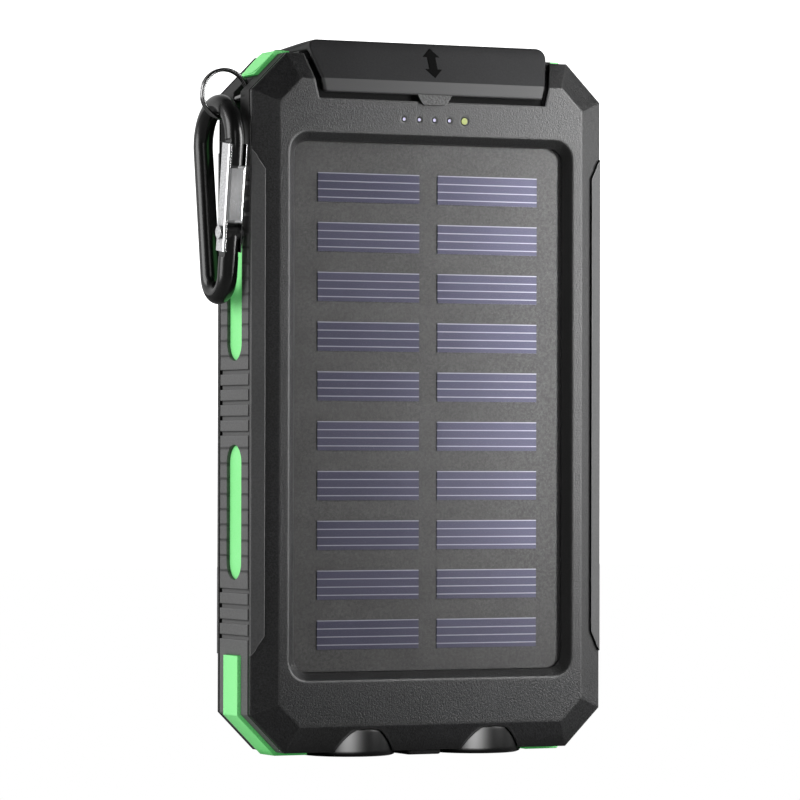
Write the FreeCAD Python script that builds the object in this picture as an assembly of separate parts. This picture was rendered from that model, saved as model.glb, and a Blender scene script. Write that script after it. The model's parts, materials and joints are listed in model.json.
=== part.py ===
import FreeCAD, Part
import math
import os

"""Solar phone charger with a port flap, two torches, a split ring and a spring-gate carabiner.

Millimetres. +Z runs up the case, the solar panel faces -Y and +X is to its right. The origin is the
middle of the base, on the surface that the case stands on. Every node is one STEP file in parts/.
"""

V = FreeCAD.Vector
X, Y, Z = V(1, 0, 0), V(0, 1, 0), V(0, 0, 1)

# ---- Case: overall sizes and walls -------------------------------------------------------------
case_height = 140.0            # bottom rim to top rim
case_width = 78.6
case_thickness = 20.6          # solar face to back face
corner_chamfer = 7.75          # 45 degree corners of the rim
bevel_width = 5.3              # slope between the rim and each flat face, seen from the front
bevel_depth = 2.4              # the same slope's depth along Y
rim_land = 0.5                 # straight edge of each shell behind its slope
seal_gap = 0.5                 # dark parting line between shells and bumpers
face_wall = 2.0
skirt_wall = 1.5
foot_height = 1.0              # torches and foot stand this far below the bottom rim
fit_gap = 0.1                  # clearance between pieces that seat in each other

# ---- Side bumpers and the green inserts --------------------------------------------------------
bumper_wall = 2.0
insert_wall = 1.6
slot_width = 7.2               # along Y
slot_length = 27.1
slot_offset = 21.95            # slot centre above and below mid height
slot_recess = 0.65             # green pad below the bumper surface
corner_window = 19.5           # height of the corner windows, measured from the rim ends
corner_proud = 0.7             # green corner pads stand out this far
chamfer_window = 3.4           # top-left window starts this far up the chamfer, above the ring's slot
side_window_top = 14.6         # top-left side window ends this far below the top rim
groove_pitch = 3.08
groove_width = 0.9
groove_depth = 0.5
mid_grooves = 5
outer_grooves = 4
outer_groove_offset = 37.7     # first groove of the upper and lower groups from mid height

# ---- Solar window and laminate -----------------------------------------------------------------
window_width = 63.8            # at the face
window_height = 109.9
window_corner = 4.2
window_slope = 1.8             # run of the sloping edge
window_depth = 1.6             # face to panel surface
window_drop = 0.7              # window centre below mid height
cover_thickness = 0.6
cell_thickness = 0.2
board_thickness = 1.0
panel_overlap = 1.1            # board reaches this far behind the window edge
cell_rows = 10                 # in two columns
cell_width = 22.6
cell_height = 5.85
cell_gap = 4.1                 # between the two columns
cell_pitch = 9.98
cell_top_margin = 6.2          # panel's top edge to the first row

# ---- Indicator lights --------------------------------------------------------------------------
light_pitch = 3.4
light_count = 4
light_radius = 0.55
solar_light_radius = 0.85
light_row = 12.7               # below the top rim
light_shift = 0.2              # row centre to the right of the middle

# ---- Port flap ---------------------------------------------------------------------------------
flap_top_half = 27.3           # half widths of the flap at its top, crease and lip
flap_crease_half = 25.0
flap_lip_half = 24.4
flap_rise = 3.0                # above the top rim
flap_proud = 0.8
flap_lip = 2.4                 # lip below the face's top edge
flap_rear_drop = 1.2           # top surface falls this much to the rear
pocket_gap = 1.3
pocket_depth = 1.0
hinge_back = 0.1               # hinge axis behind the rear rim
hinge_rise = 1.0               # hinge axis above the top rim
knuckle_radius = 0.95
hinge_gap = 0.05
tab_width = 8.1
tab_tip = 5.2
tab_height = 2.0
tab_thickness = 0.5
deck_half = 28.4
deck_rise = 0.4

# ---- Ports (standard sizes) --------------------------------------------------------------------
port_wall = 0.3
usb_width, usb_height, usb_depth = 12.5, 5.1, 13.7
usb_tongue_width, usb_tongue_height, usb_tongue_length = 11.1, 1.84, 8.4
usb_spacing = 17.5             # each USB-A port from the middle
micro_width, micro_height, micro_depth = 6.9, 1.9, 5.0
micro_tongue_width, micro_tongue_height, micro_tongue_length = 3.7, 0.6, 3.4

# ---- Inside ------------------------------------------------------------------------------------
pcb_y = 3.8                    # front face of the main board
pcb_thickness = 1.2
pcb_height = 27.6
pcb_margin = 2.3               # board edge past the outer screws
pcb_drop = 5.8                 # board's top edge below the deck's top
battery_half, battery_length, battery_thickness = 28.5, 82.0, 12.0
battery_gap = 2.0              # cell's top edge to the main board
foam_front = 1.0
screw_edge = 7.9               # case screws from the side wall
screw_low, screw_high = 25.0, 39.0   # end screws from the bottom and top rims
boss_radius = 2.1
screw_radius = 1.0
screw_head_radius = 1.9
screw_head_height = 1.0
screw_seat = 1.2               # head seat below the back face
screw_reach = 5.0              # screw tip in front of the middle plane
screw_clear = 0.15             # hole in the back shell, larger than the thread
boss_gap = 0.4                 # bosses to the solar board
post_radius = 2.0
post_reach = 0.6               # board screws stop this far short of the back wall
board_screw_radius = 0.8
board_head_radius = 1.6
board_screw_clear = 0.55       # screw head to the USB socket beside it
board_screw_low, board_screw_high = 2.5, 2.8   # from the board's lower and upper edges
board_screw_step = 2.2         # lower screws stand this much further in
board_head_height = 1.0
led_size, led_height = 1.6, 0.8
chip_row = 10.5                # chips' row above the board's lower edge
choke_x, choke_size, choke_height, choke_row = -11.0, 7.0, 3.6, 10.0
lead_x, lead_radius = 23.5, 0.5
lead_drop = 2.0                # below the solar board's top edge
tab_x, nickel_width, nickel_thickness, nickel_lap = 4.0, 4.0, 0.2, 4.0
flex_width, flex_thickness = 7.0, 0.3

# ---- Torches -----------------------------------------------------------------------------------
torch_x = 14.2
torch_skin = 0.2               # head radius is this much under half the case thickness
torch_body_gap = 0.3           # narrow body to the face wall
torch_head = 5.3               # height of the wide head
torch_length = 15.0
torch_gap = 0.1
lens_rim = 1.5                 # wall round the lens
lens_thickness = 1.4
lens_recess = 0.8
reflector_radius = 6.4
reflector_height, reflector_throat, reflector_wall = 8.6, 2.2, 0.5
emitter_radius, dome_radius = 2.6, 1.2
torch_board_depth, torch_board_margin = 11.0, 9.0

# ---- Power button ------------------------------------------------------------------------------
button_drop = 27.5             # button centre below the top rim
button_length, button_width = 8.0, 4.6
button_proud = 0.6
button_travel = 0.4
button_gap = 0.15
button_flange = 0.8            # flange reaches past the cap and is this thick
stem_radius = 1.2

# ---- Lanyard pin, split ring and carabiner ------------------------------------------------------
ring_y = -1.0
ring_outer = 5.3
ring_wire = 0.75
ring_turns_width = 1.5
ring_reach = 2.7               # ring centre outside the side wall
ring_drop = 8.3                # ring centre below the top rim
pin_inset = 0.9                # pin axis inside the side wall
pin_drop = 8.9
pin_radius = 0.8
pin_length = 8.0
ring_swing = 20.0
ring_slot = 3.5                # slot width along Y
link_clear = 1.1               # carabiner to the side wall
link_y = 0.8                   # middle of the carabiner
rod_radius = 2.0
link_top_radius = 8.0
link_low_radius = 4.3
link_span = 25.8               # between the two arc centres
link_hang = 0.65               # rod above the ring's lowest inner point, where the bend clears it
gate_low, gate_high = 4.8, 26.4
rivet_height = 8.6
gate_wall = 0.5
nose_low = 22.0
rivet_radius = 0.7
rivet_gap = 0.05

# ---- Worked-out places -------------------------------------------------------------------------
half_w = case_width / 2
half_t = case_thickness / 2
rim_low = foot_height
rim_top = foot_height + case_height
mid_z = foot_height + case_height / 2
rim_y = half_t - bevel_depth           # both rims lie at +-rim_y
land_y = rim_y - rim_land
bumper_y = land_y - seal_gap
inner_y = half_t - face_wall
insert_in = bumper_wall + insert_wall  # insets from the rim outline
skirt_out = insert_in + fit_gap
skirt_in = skirt_out + skirt_wall
slope = bevel_depth / bevel_width
face_top = rim_top - bevel_width
panel_y = -half_t + window_depth
window_z = mid_z - window_drop
panel_w = window_width - 2 * window_slope
panel_h = window_height - 2 * window_slope
cells_y = panel_y + cover_thickness    # front of the cells
board_y = cells_y + cell_thickness     # front of the solar board
board_back = board_y + board_thickness
hinge_y, hinge_z = rim_y + hinge_back, rim_top + hinge_rise
deck_top = rim_top + deck_rise
light_z = rim_top - light_row
pcb_top = deck_top - pcb_drop
pcb_bottom = pcb_top - pcb_height
board_screw_x = usb_spacing + usb_width / 2 + port_wall + board_screw_clear + board_head_radius
pcb_half = board_screw_x + pcb_margin
battery_front = board_back + foam_front
battery_back = battery_front + battery_thickness
battery_top = pcb_bottom - battery_gap
battery_bottom = battery_top - battery_length
screw_x = half_w - screw_edge
screw_heights = (rim_low + screw_low, (rim_low + screw_low + rim_top - screw_high) / 2, rim_top - screw_high)
torch_radius = half_t - torch_skin
torch_body_radius = inner_y - torch_body_gap
lens_radius = torch_radius - lens_rim
button_z = rim_top - button_drop
ring_x, ring_z = -half_w - ring_reach, rim_top - ring_drop
pin_x, pin_z = -half_w + pin_inset, rim_top - pin_drop
ring_inner = ring_outer - ring_wire
link_x = -half_w - link_clear - rod_radius
tongue_half = rod_radius - gate_wall
gate_inner = tongue_half + fit_gap
link_top_z = ring_z - ring_inner + link_hang + rod_radius   # rod axis where it hangs in the ring


# ---- Helpers -----------------------------------------------------------------------------------
def octagon(inset, y):
    """Rim outline moved inwards by inset, as a wire at depth y."""
    w, h = half_w - inset, case_height / 2 - inset
    c = corner_chamfer - inset * (2 - math.sqrt(2))
    pts = [(-w, h - c), (-w + c, h), (w - c, h), (w, h - c), (w, c - h), (w - c, -h), (c - w, -h), (-w, c - h)]
    return Part.makePolygon([V(x, y, mid_z + z) for x, z in pts + pts[:1]])


def slab(inset, y0, y1):
    """Solid with the rim outline, between two depths."""
    return Part.Face(octagon(inset, y0)).extrude(V(0, y1 - y0, 0))


def ring(outer, inner, y0, y1):
    return slab(outer, y0, y1).cut(slab(inner, y0 - 1, y1 + 1))


def box(x0, x1, y0, y1, z0, z1):
    return Part.makeBox(x1 - x0, y1 - y0, z1 - z0, V(x0, y0, z0))


def prism_x(points, x0, x1):
    """Extrude a (y, z) outline along X."""
    wire = Part.makePolygon([V(x0, y, z) for y, z in points + points[:1]])
    return Part.Face(wire).extrude(V(x1 - x0, 0, 0))


def prism_y(points, y0, y1):
    """Extrude an (x, z) outline along Y."""
    wire = Part.makePolygon([V(x, y0, z) for x, z in points + points[:1]])
    return Part.Face(wire).extrude(V(0, y1 - y0, 0))


def rod(radius, start, end):
    start, end = V(*start), V(*end)
    return Part.makeCylinder(radius, (end - start).Length, start, end - start)


def rounded_wire(w, h, r, y, zc):
    """Rounded rectangle in the XZ plane."""
    solid = Part.makeBox(w, 1, h, V(-w / 2, y, zc - h / 2))
    edges = [e for e in solid.Edges if abs(e.tangentAt(e.FirstParameter).y) > 0.9]
    solid = solid.makeFillet(r, edges)
    face = [f for f in solid.Faces if abs(f.CenterOfMass.y - y) < 1e-6][0]
    return face.OuterWire


def rounded_slab(w, h, r, y0, y1, zc):
    return Part.Face(rounded_wire(w, h, r, y0, zc)).extrude(V(0, y1 - y0, 0))


def stadium_x(length, width, x0, x1, yc, zc):
    """Round-ended slot shape, long along Z, extruded along X."""
    reach = length / 2 - width / 2
    mid = box(x0, x1, yc - width / 2, yc + width / 2, zc - reach, zc + reach)
    ends = [rod(width / 2, (x0, yc, zc + s * reach), (x1, yc, zc + s * reach)) for s in (-1, 1)]
    return mid.fuse(ends).removeSplitter()


def revolve_z(points, x, y):
    """Turn an (r, z) outline about a vertical axis."""
    wire = Part.makePolygon([V(x + r, y, z) for r, z in points + points[:1]])
    return Part.Face(wire).revolve(V(x, y, 0), Z, 360)


def mirrored_x(shape):
    return shape.mirror(V(0, 0, 0), X)


def group(solids):
    return Part.makeCompound(solids)


# ---- Shared cutting shapes ---------------------------------------------------------------------
def shell_body(sign):
    """Solid lump between a face and its rim land: sign -1 is the front, +1 the back."""
    face, rim = octagon(bevel_width, sign * half_t), octagon(0, sign * rim_y)
    slope_part = Part.makeLoft([face, rim], True, True)
    y0, y1 = sorted((sign * rim_y, sign * land_y))
    return slope_part.fuse(slab(0, y0, y1)).removeSplitter()


def torch_bore():
    """Clearance for both torches, from below the case up into the cavity."""
    wide, narrow = torch_radius + torch_gap, torch_body_radius + torch_gap
    step = wide - narrow
    top = torch_head + torch_gap
    high = torch_length + 1
    profile = [(0, -5), (wide, -5), (wide, top), (narrow, top + step), (narrow, high), (0, high)]
    one = revolve_z(profile, torch_x, 0)
    return one.fuse(mirrored_x(one))


def pocket(sign, low, grow):
    """Recess for the flap (front) or its anchor (back), open upwards."""
    floor = half_t - pocket_depth
    high = rim_top + 12
    profile = [(40, low), (floor, low), (floor, face_top), (floor - slope * (high - face_top), high),
               (40, high)]
    cut = prism_x([(sign * y, z) for y, z in profile], -half_w, half_w)
    outline = flap_outline(grow, low)
    return cut.common(prism_y(outline, -30, 30))


def flap_outline(grow, low):
    """Front view of the flap, widened by grow, as (x, z) points."""
    crease_z = face_top + 0.2
    lip_z = face_top - flap_lip
    top_z = rim_top + flap_rise
    rise = (flap_top_half - flap_crease_half) / (top_z - crease_z)
    taper = (flap_crease_half - flap_lip_half) / (crease_z - lip_z)
    high = top_z + 12
    half = [(flap_lip_half - taper * (lip_z - low) + grow, low), (flap_crease_half + grow, crease_z),
            (flap_crease_half + rise * (high - crease_z) + grow, high)]
    return half + [(-x, z) for x, z in reversed(half)]


def screw_axes():
    return [(s * screw_x, z) for s in (-1, 1) for z in screw_heights]


# ---- Shells ------------------------------------------------------------------------------------
def shell(sign, bottom_of_pocket):
    """Front or back half of the inner case, with its skirt and screw bosses."""
    y_in, y_land = sign * inner_y, sign * land_y
    body = shell_body(sign)
    body = body.cut(slab(skirt_in, *sorted((y_in, 0))))
    body = body.fuse(ring(skirt_out, skirt_in, *sorted((y_land, 0))))
    start = inner_y if sign > 0 else board_back + boss_gap
    for x, z in screw_axes():
        side = 1 if x > 0 else -1
        wall_x = side * (half_w - skirt_in + 0.5)
        y0, y1 = sorted((start, 0))
        body = body.fuse(rod(boss_radius, (x, y0, z), (x, y1, z)))
        body = body.fuse(box(*sorted((x, wall_x)), y0, y1, z - boss_radius, z + boss_radius))
    body = body.cut(torch_bore())
    body = body.cut(pocket(sign, bottom_of_pocket, pocket_gap))
    deck_room = box(-deck_half - fit_gap, deck_half + fit_gap, *sorted((sign * land_y, 0)),
                    rim_top - skirt_in - 0.01, rim_top + 5)
    return body.cut(deck_room)


def front_shell():
    body = shell(-1, face_top - flap_lip - pocket_gap)
    outer = rounded_wire(window_width, window_height, window_corner, -half_t, window_z)
    inner = rounded_wire(panel_w, panel_h, window_corner - window_slope * 0.7, panel_y, window_z)
    body = body.cut(Part.makeLoft([outer, inner], True, True))
    body = body.cut(rounded_slab(panel_w, panel_h, window_corner - window_slope * 0.7, panel_y - 0.01,
                                 -inner_y + 1, window_z))
    for x, radius in light_places():
        body = body.cut(rod(radius + 0.02, (x, -half_t - 1, light_z), (x, 0, light_z)))
    for x, z in screw_axes():
        body = body.cut(rod(screw_radius, (x, -screw_reach - 0.4, z), (x, 1, z)))
    return body.cut(button_hole(stem_radius + button_gap))


def back_shell():
    body = shell(1, face_top - 1.3)
    for x, z in screw_axes():
        body = body.cut(rod(screw_radius + screw_clear, (x, -1, z), (x, half_t + 1, z)))
        body = body.cut(rod(screw_head_radius + 0.2, (x, half_t - screw_seat, z), (x, half_t + 1, z)))
    for x, z in board_screw_axes():
        post = rod(post_radius, (x, pcb_y + pcb_thickness, z), (x, inner_y + 0.2, z))
        post = post.cut(rod(board_screw_radius, (x, 0, z), (x, inner_y - post_reach + 0.2, z)))
        body = body.fuse(post)
    return body.cut(button_hole(stem_radius + button_gap))


def light_places():
    """(x, radius) of the four level lights and the charging light at the right."""
    first = light_shift - light_pitch * light_count / 2
    places = [(first + i * light_pitch, light_radius) for i in range(light_count)]
    return places + [(first + light_count * light_pitch, solar_light_radius)]


def seal(sign):
    """Soft cord that shows as the dark line between a shell and the bumpers."""
    body = ring(0.6, skirt_out - 0.3, *sorted((sign * land_y, sign * bumper_y)))
    body = body.cut(torch_bore())
    return body.cut(box(-deck_half - 0.6, deck_half + 0.6, -30, 30, mid_z, rim_top + 5))


def bevel_strip(sign, side):
    """Inlay on the outer half of a long bevel, with stepped diagonal ends."""
    run, proud = 2.55, 0.45
    layer = shell_body(sign)
    raised = layer.copy()
    raised.translate(V(0, sign * proud, 0))
    layer = raised.cut(layer)
    half = case_height / 2 - corner_window
    edge = half_w
    pts = [(edge, half), (edge - 0.9, half - 1.1), (edge - 1.2, half - 1.8), (edge - run, half - 4.0)]
    pts = pts + [(x, -z) for x, z in reversed(pts)]
    outline = [(side * x, mid_z + z) for x, z in pts]
    return layer.common(prism_y(outline, -30, 30))


# ---- Bumpers and green inserts (right-hand ones; the left is mirrored) --------------------------
def end_limits(shape):
    """Keep the right half, clear of the torches below and the port deck above."""
    shape = shape.common(box(0, half_w + 5, -30, 30, -5, rim_top + 5))
    shape = shape.cut(torch_bore())
    shape = shape.cut(box(-1, torch_x + torch_radius + torch_gap + 0.3, -30, 30, -5, rim_low + insert_in + 0.1))
    return shape.cut(box(-1, deck_half + 0.6, -30, 30, mid_z, rim_top + 5))


def slot_centres():
    return [mid_z + s * slot_offset for s in (-1, 1)]


def corner_block(width, shape_inset, low_side_only=False):
    """Band of the outline inside the corner windows, width wide along Y."""
    band = ring(shape_inset, bumper_wall, -width / 2, width / 2)
    reach = corner_window - (slot_width - width) / 2
    ends = box(0, half_w + 5, -30, 30, -5, rim_low + reach)
    tops = box(0, half_w + 5, -30, 30, rim_top - reach, rim_top + 5)
    return band.common(ends if low_side_only else ends.fuse(tops))


def groove_heights():
    mid = [mid_z + (i - (mid_grooves - 1) / 2) * groove_pitch for i in range(mid_grooves)]
    outer = [outer_groove_offset + i * groove_pitch for i in range(outer_grooves)]
    return mid + [mid_z + d for d in outer] + [mid_z - d for d in outer]


def bumper_blank():
    body = end_limits(ring(0, bumper_wall, -bumper_y, bumper_y))
    for z in slot_centres():
        body = body.cut(stadium_x(slot_length, slot_width, half_w - 5, half_w + 1, 0, z))
    for z in groove_heights():
        low, high = z - groove_width / 2, z + groove_width / 2
        body = body.cut(box(half_w - groove_depth, half_w + 1, -30, 30, low, high))
    return body


def insert_blank():
    body = end_limits(ring(bumper_wall, insert_in, -bumper_y, bumper_y))
    for z in slot_centres():
        pad = stadium_x(slot_length - 2 * fit_gap, slot_width - 2 * fit_gap, half_w - bumper_wall - 0.5,
                        half_w - slot_recess, 0, z)
        body = body.fuse(pad)
    return body


def corner_window_cut():
    return corner_block(slot_width, -2)


def corner_pad():
    return end_limits(corner_block(slot_width - 2 * fit_gap, -corner_proud))


def button_hole(radius):
    return rod(radius, (half_w - skirt_in - 1, 0, button_z), (half_w - insert_in + 0.05, 0, button_z))


def right_bumper():
    body = bumper_blank().cut(corner_window_cut())
    hole = stadium_x(button_length + 2 * button_gap, button_width + 2 * button_gap, half_w - 5, half_w + 1, 0,
                     button_z)
    return body.cut(hole)


def right_insert():
    body = insert_blank().fuse(corner_pad())
    grow = 2 * (button_flange + button_gap + 0.2)
    hole = stadium_x(button_length + grow, button_width + grow, half_w - 5, half_w + 1, 0, button_z)
    return body.cut(hole).removeSplitter()


def left_top_window(width, inset):
    """Top-left corner windows: one on the chamfer and end, a short one on the side below the ring."""
    z_from = rim_top - corner_chamfer + chamfer_window + (slot_width - width) / 2
    band = ring(inset, bumper_wall, -width / 2, width / 2)
    return band.common(box(0, half_w + 5, -30, 30, z_from, rim_top + 5))


def left_side_window(width, inset):
    grow = (slot_width - width) / 2
    low, high = rim_top - corner_window + grow, rim_top - side_window_top - grow
    return ring(inset, bumper_wall, -width / 2, width / 2).common(box(0, half_w + 5, -30, 30, low, high))


def ring_slot_cut():
    """Room for the ring to pass behind the lanyard pin and to swing, in the mirrored (right) frame."""
    y0, y1 = ring_y - ring_slot / 2, ring_y + ring_slot / 2
    reach = ring_outer + 0.25
    arm_x, arm_z = ring_x - pin_x, ring_z - pin_z
    arm = math.hypot(arm_x, arm_z)
    shapes = [rod(reach - arm, (pin_x, y0, pin_z), (pin_x, y1, pin_z))]
    for deg in (0, ring_swing + 1.5):
        a = math.radians(deg)
        cx = pin_x + arm_x * math.cos(a) + arm_z * math.sin(a)
        cz = pin_z - arm_x * math.sin(a) + arm_z * math.cos(a)
        shapes.append(rod(reach, (cx, y0, cz), (cx, y1, cz)))
    return mirrored_x(shapes[0].fuse(shapes[1:]))


def left_bumper():
    low_windows = corner_block(slot_width, -2, low_side_only=True)
    body = bumper_blank().cut(low_windows)
    body = body.cut(left_top_window(slot_width, -2)).cut(left_side_window(slot_width, -2))
    body = mirrored_x(body.cut(ring_slot_cut()))
    return body.cut(lanyard_pin())


def left_insert():
    width = slot_width - 2 * fit_gap
    body = insert_blank().fuse(end_limits(corner_block(width, -corner_proud, low_side_only=True)))
    body = body.fuse(end_limits(left_top_window(width, -corner_proud)))
    body = body.fuse(left_side_window(width, slot_recess))
    return mirrored_x(body.cut(ring_slot_cut()).removeSplitter())


def foot_pad():
    """Block between the torches; its underside is the middle of the base."""
    half = torch_x - torch_radius - torch_gap - 0.2
    body = box(-half, half, -bumper_y, bumper_y, 0, rim_low + skirt_out)
    edges = [e for e in body.Edges if abs(e.tangentAt(e.FirstParameter).z) > 0.9]
    return body.makeFillet(0.8, edges)


# ---- Solar laminate ----------------------------------------------------------------------------
def panel_cover():
    r = window_corner - window_slope * 0.7
    return rounded_slab(panel_w - 2 * fit_gap, panel_h - 2 * fit_gap, r, panel_y, cells_y, window_z)


def solar_cells():
    cells = []
    top = window_z + panel_h / 2 - cell_top_margin
    for row in range(cell_rows):
        z = top - row * cell_pitch
        for side in (-1, 1):
            x = side * (cell_gap + cell_width) / 2
            cells.append(box(x - cell_width / 2, x + cell_width / 2, cells_y, board_y, z - cell_height, z))
    return group(cells)


def solar_board():
    w, h = panel_w + 2 * panel_overlap, panel_h + 2 * panel_overlap
    return rounded_slab(w, h, 1.5, board_y, board_y + board_thickness, window_z)


def panel_tape():
    """Adhesive frame that holds the solar board behind the window edge."""
    w, h = panel_w + 2 * panel_overlap, panel_h + 2 * panel_overlap
    outer = rounded_slab(w, h, 1.5, -inner_y, board_y, window_z)
    hole = rounded_slab(panel_w, panel_h, 2.0, -inner_y - 1, board_y + 1, window_z)
    return outer.cut(hole)


# ---- Flap, anchor, deck and ports ----------------------------------------------------------------
def port_flap():
    crease_z = face_top + 0.2
    lip_z = face_top - flap_lip
    top_z = rim_top + flap_rise
    front = -half_t - flap_proud
    skin = flap_proud + pocket_depth - fit_gap
    under_z = deck_top + 0.2
    top_front = front + slope * (top_z - crease_z)
    inner_top = front + skin + slope * (under_z - crease_z)
    profile = [(front, lip_z), (front, crease_z), (top_front, top_z), (hinge_y - 0.3, top_z - flap_rear_drop),
               (hinge_y - 0.7, under_z), (inner_top, under_z), (front + skin, crease_z), (front + skin, lip_z)]
    body = prism_x(profile, -40, 40)
    body = body.fuse(rod(knuckle_radius, (-40, hinge_y, hinge_z), (40, hinge_y, hinge_z)))
    body = body.common(prism_y(flap_outline(0, lip_z), -30, 30))
    low = lip_z - tab_height
    wide, narrow, root = tab_width / 2, tab_tip / 2, lip_z + 0.3
    tab = prism_y([(-wide, root), (wide, root), (narrow, low), (-narrow, low)],
                  -half_t - fit_gap - tab_thickness, -half_t - fit_gap)
    return body.fuse(tab).removeSplitter()


def flap_anchor():
    """Moulded strip in the back slope that carries the flap's hinge line."""
    floor = half_t - pocket_depth + 0.05
    outer = half_t + flap_proud
    low = face_top - 0.9
    top = rim_top + 0.4
    crease_z = face_top + 0.2
    profile = [(floor, low), (half_t, low), (half_t, crease_z + flap_proud / slope),
               (outer - slope * (top - crease_z), top),
               (floor - slope * (top - face_top), top), (floor, face_top)]
    body = prism_x(profile, -40, 40).common(prism_y(flap_outline(0, low), -30, 30))
    return body.cut(rod(knuckle_radius + hinge_gap, (-40, hinge_y, hinge_z), (40, hinge_y, hinge_z)))


def port_deck():
    """Plate between the shells with a clean opening for each port."""
    body = box(-deck_half, deck_half, -land_y, land_y, rim_top - skirt_in, deck_top)
    for sign in (-1, 1):
        low = face_top - 20
        body = body.cut(pocket(sign, low, 30))
    for x in (-usb_spacing, usb_spacing):
        body = body.cut(port_block(x, usb_width, usb_height, usb_depth, fit_gap))
    return body.cut(port_block(0, micro_width, micro_height, micro_depth, fit_gap))


def port_block(x, width, height, depth, grow):
    """Outer block of a port shell that sits on the front of the main board."""
    w = width / 2 + port_wall + grow
    y1 = pcb_y + grow
    y0 = pcb_y - height - 2 * port_wall - grow
    return box(x - w, x + w, y0, y1, deck_top - depth - grow, deck_top + (1 if grow else 0))


def port_shell(x, width, height, depth):
    body = port_block(x, width, height, depth, 0)
    y1 = pcb_y - port_wall
    return body.cut(box(x - width / 2, x + width / 2, y1 - height, y1, deck_top - depth + port_wall, deck_top + 1))


def port_tongue(x, height, depth, tongue_width, tongue_height, tongue_length, offset):
    """Insulator: a block at the port's floor and the tongue that stands up from it."""
    y_mid = pcb_y - port_wall - height / 2
    floor = deck_top - depth + port_wall
    y0 = y_mid + offset - tongue_height / 2
    x0, x1 = x - tongue_width / 2, x + tongue_width / 2
    tongue = box(x0, x1, y0, y0 + tongue_height, floor, floor + tongue_length + 2)
    base = box(x0, x1, y_mid - height / 2, y_mid + height / 2, floor, floor + 1.2)
    return tongue.fuse(base).removeSplitter()


def usb_tongue(side):
    return port_tongue(side * usb_spacing, usb_height, usb_depth, usb_tongue_width, usb_tongue_height,
                       usb_tongue_length, 0.9)


# ---- Electronics -------------------------------------------------------------------------------
def board_screw_axes():
    low, high = pcb_bottom + board_screw_low, pcb_top - board_screw_high
    places = ((board_screw_x - board_screw_step, low), (board_screw_x, high))
    return [(s * x, z) for s in (-1, 1) for x, z in places]


def main_board():
    """Board whose corners stay inside the skirt's corners."""
    body = box(-pcb_half, pcb_half, pcb_y, pcb_y + pcb_thickness, pcb_bottom, pcb_top)
    body = body.common(slab(skirt_in + fit_gap, pcb_y - 1, pcb_y + pcb_thickness + 1))
    for x, z in board_screw_axes():
        body = body.cut(rod(1.1, (x, 0, z), (x, 10, z)))
    return body


def board_screws():
    screws = []
    for x, z in board_screw_axes():
        shank = rod(board_screw_radius, (x, pcb_y - 0.1, z), (x, inner_y - post_reach, z))
        head = rod(board_head_radius, (x, pcb_y - board_head_height, z), (x, pcb_y, z))
        screws.append(shank.fuse(head).removeSplitter())
    return group(screws)


def board_chips():
    """Four packages on the board: (x, z from their row, width, height, thickness)."""
    row = pcb_bottom + chip_row
    sizes = [(-2.0, 0.5, 6.0, 6.0, 1.1), (8.5, -0.5, 5.0, 4.0, 1.5), (18.0, -1.5, 4.0, 5.0, 1.2),
             (-20.0, -0.5, 5.0, 5.0, 1.2)]
    return group([box(x - w / 2, x + w / 2, pcb_y - t, pcb_y, row + z - h / 2, row + z + h / 2)
                  for x, z, w, h, t in sizes])


def inductor():
    half = choke_size / 2
    z = pcb_bottom + choke_row
    return box(choke_x - half, choke_x + half, pcb_y - choke_height, pcb_y, z - half, z + half)


def indicator_leds():
    half = led_size / 2
    return group([box(x - half, x + half, pcb_y - led_height, pcb_y, light_z - 0.6, light_z + 0.6)
                  for x, _ in light_places()])


def light_pipes(places):
    """Clear rods from the face to just over each light."""
    inner = pcb_y - led_height - fit_gap
    return group([rod(radius, (x, -half_t, light_z), (x, inner, light_z)) for x, radius in places])


def solar_leads():
    """Two pins from the solar board to the main board, near the solar board's top edge."""
    z = window_z + panel_h / 2 + panel_overlap - lead_drop
    return group([rod(lead_radius, (s * lead_x, board_back, z), (s * lead_x, pcb_y, z)) for s in (-1, 1)])


def battery_cell():
    body = box(-battery_half, battery_half, battery_front, battery_back, battery_bottom, battery_top)
    return body.makeFillet(1.5, [e for e in body.Edges if abs(e.tangentAt(e.FirstParameter).z) > 0.9])


def battery_foam():
    """One pad in front of the cell and two strips behind it."""
    low, high = battery_bottom + 2, battery_top - 2
    half = battery_half - 2
    front_pad = box(-half, half, board_back, battery_front, low, high)
    strips = [box(*sorted((s * 6.0, s * half)), battery_back, inner_y, low, high) for s in (-1, 1)]
    return group([front_pad] + strips)


def battery_tabs():
    half = nickel_width / 2
    return group([box(x - half, x + half, pcb_y - nickel_thickness, pcb_y, battery_top, pcb_bottom + nickel_lap)
                  for x in (-tab_x, tab_x)])


def torch_board():
    z = torch_length + 0.2
    reach, half = torch_x + torch_board_margin, torch_board_depth / 2
    return box(-reach, reach, -half, half, z, z + 1.0)


def torch_flex():
    """Flat cable from the torch board, up behind the battery, to the back of the main board."""
    z0, z1 = torch_length + 1.2, pcb_bottom + nickel_lap
    y0, y1 = battery_back + 0.2, pcb_y + pcb_thickness
    t = flex_thickness
    profile = [(2, z0), (y0 + t, z0), (y0 + t, z1), (y1, z1), (y1, z1 - t), (y0, z1 - t), (y0, z0 + t),
               (2, z0 + t)]
    return prism_x(profile, -flex_width / 2, flex_width / 2)


def case_screws():
    screws = []
    for x, z in screw_axes():
        seat = half_t - screw_seat
        shank = rod(screw_radius, (x, -screw_reach, z), (x, seat + 0.1, z))
        head = rod(screw_head_radius, (x, seat, z), (x, seat + screw_head_height, z))
        cross = [box(x - a, x + a, seat + 0.5, seat + 2, z - b, z + b) for a, b in ((1.1, 0.25), (0.25, 1.1))]
        screws.append(shank.fuse(head).removeSplitter().cut(cross[0]).cut(cross[1]))
    return group(screws)


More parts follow.
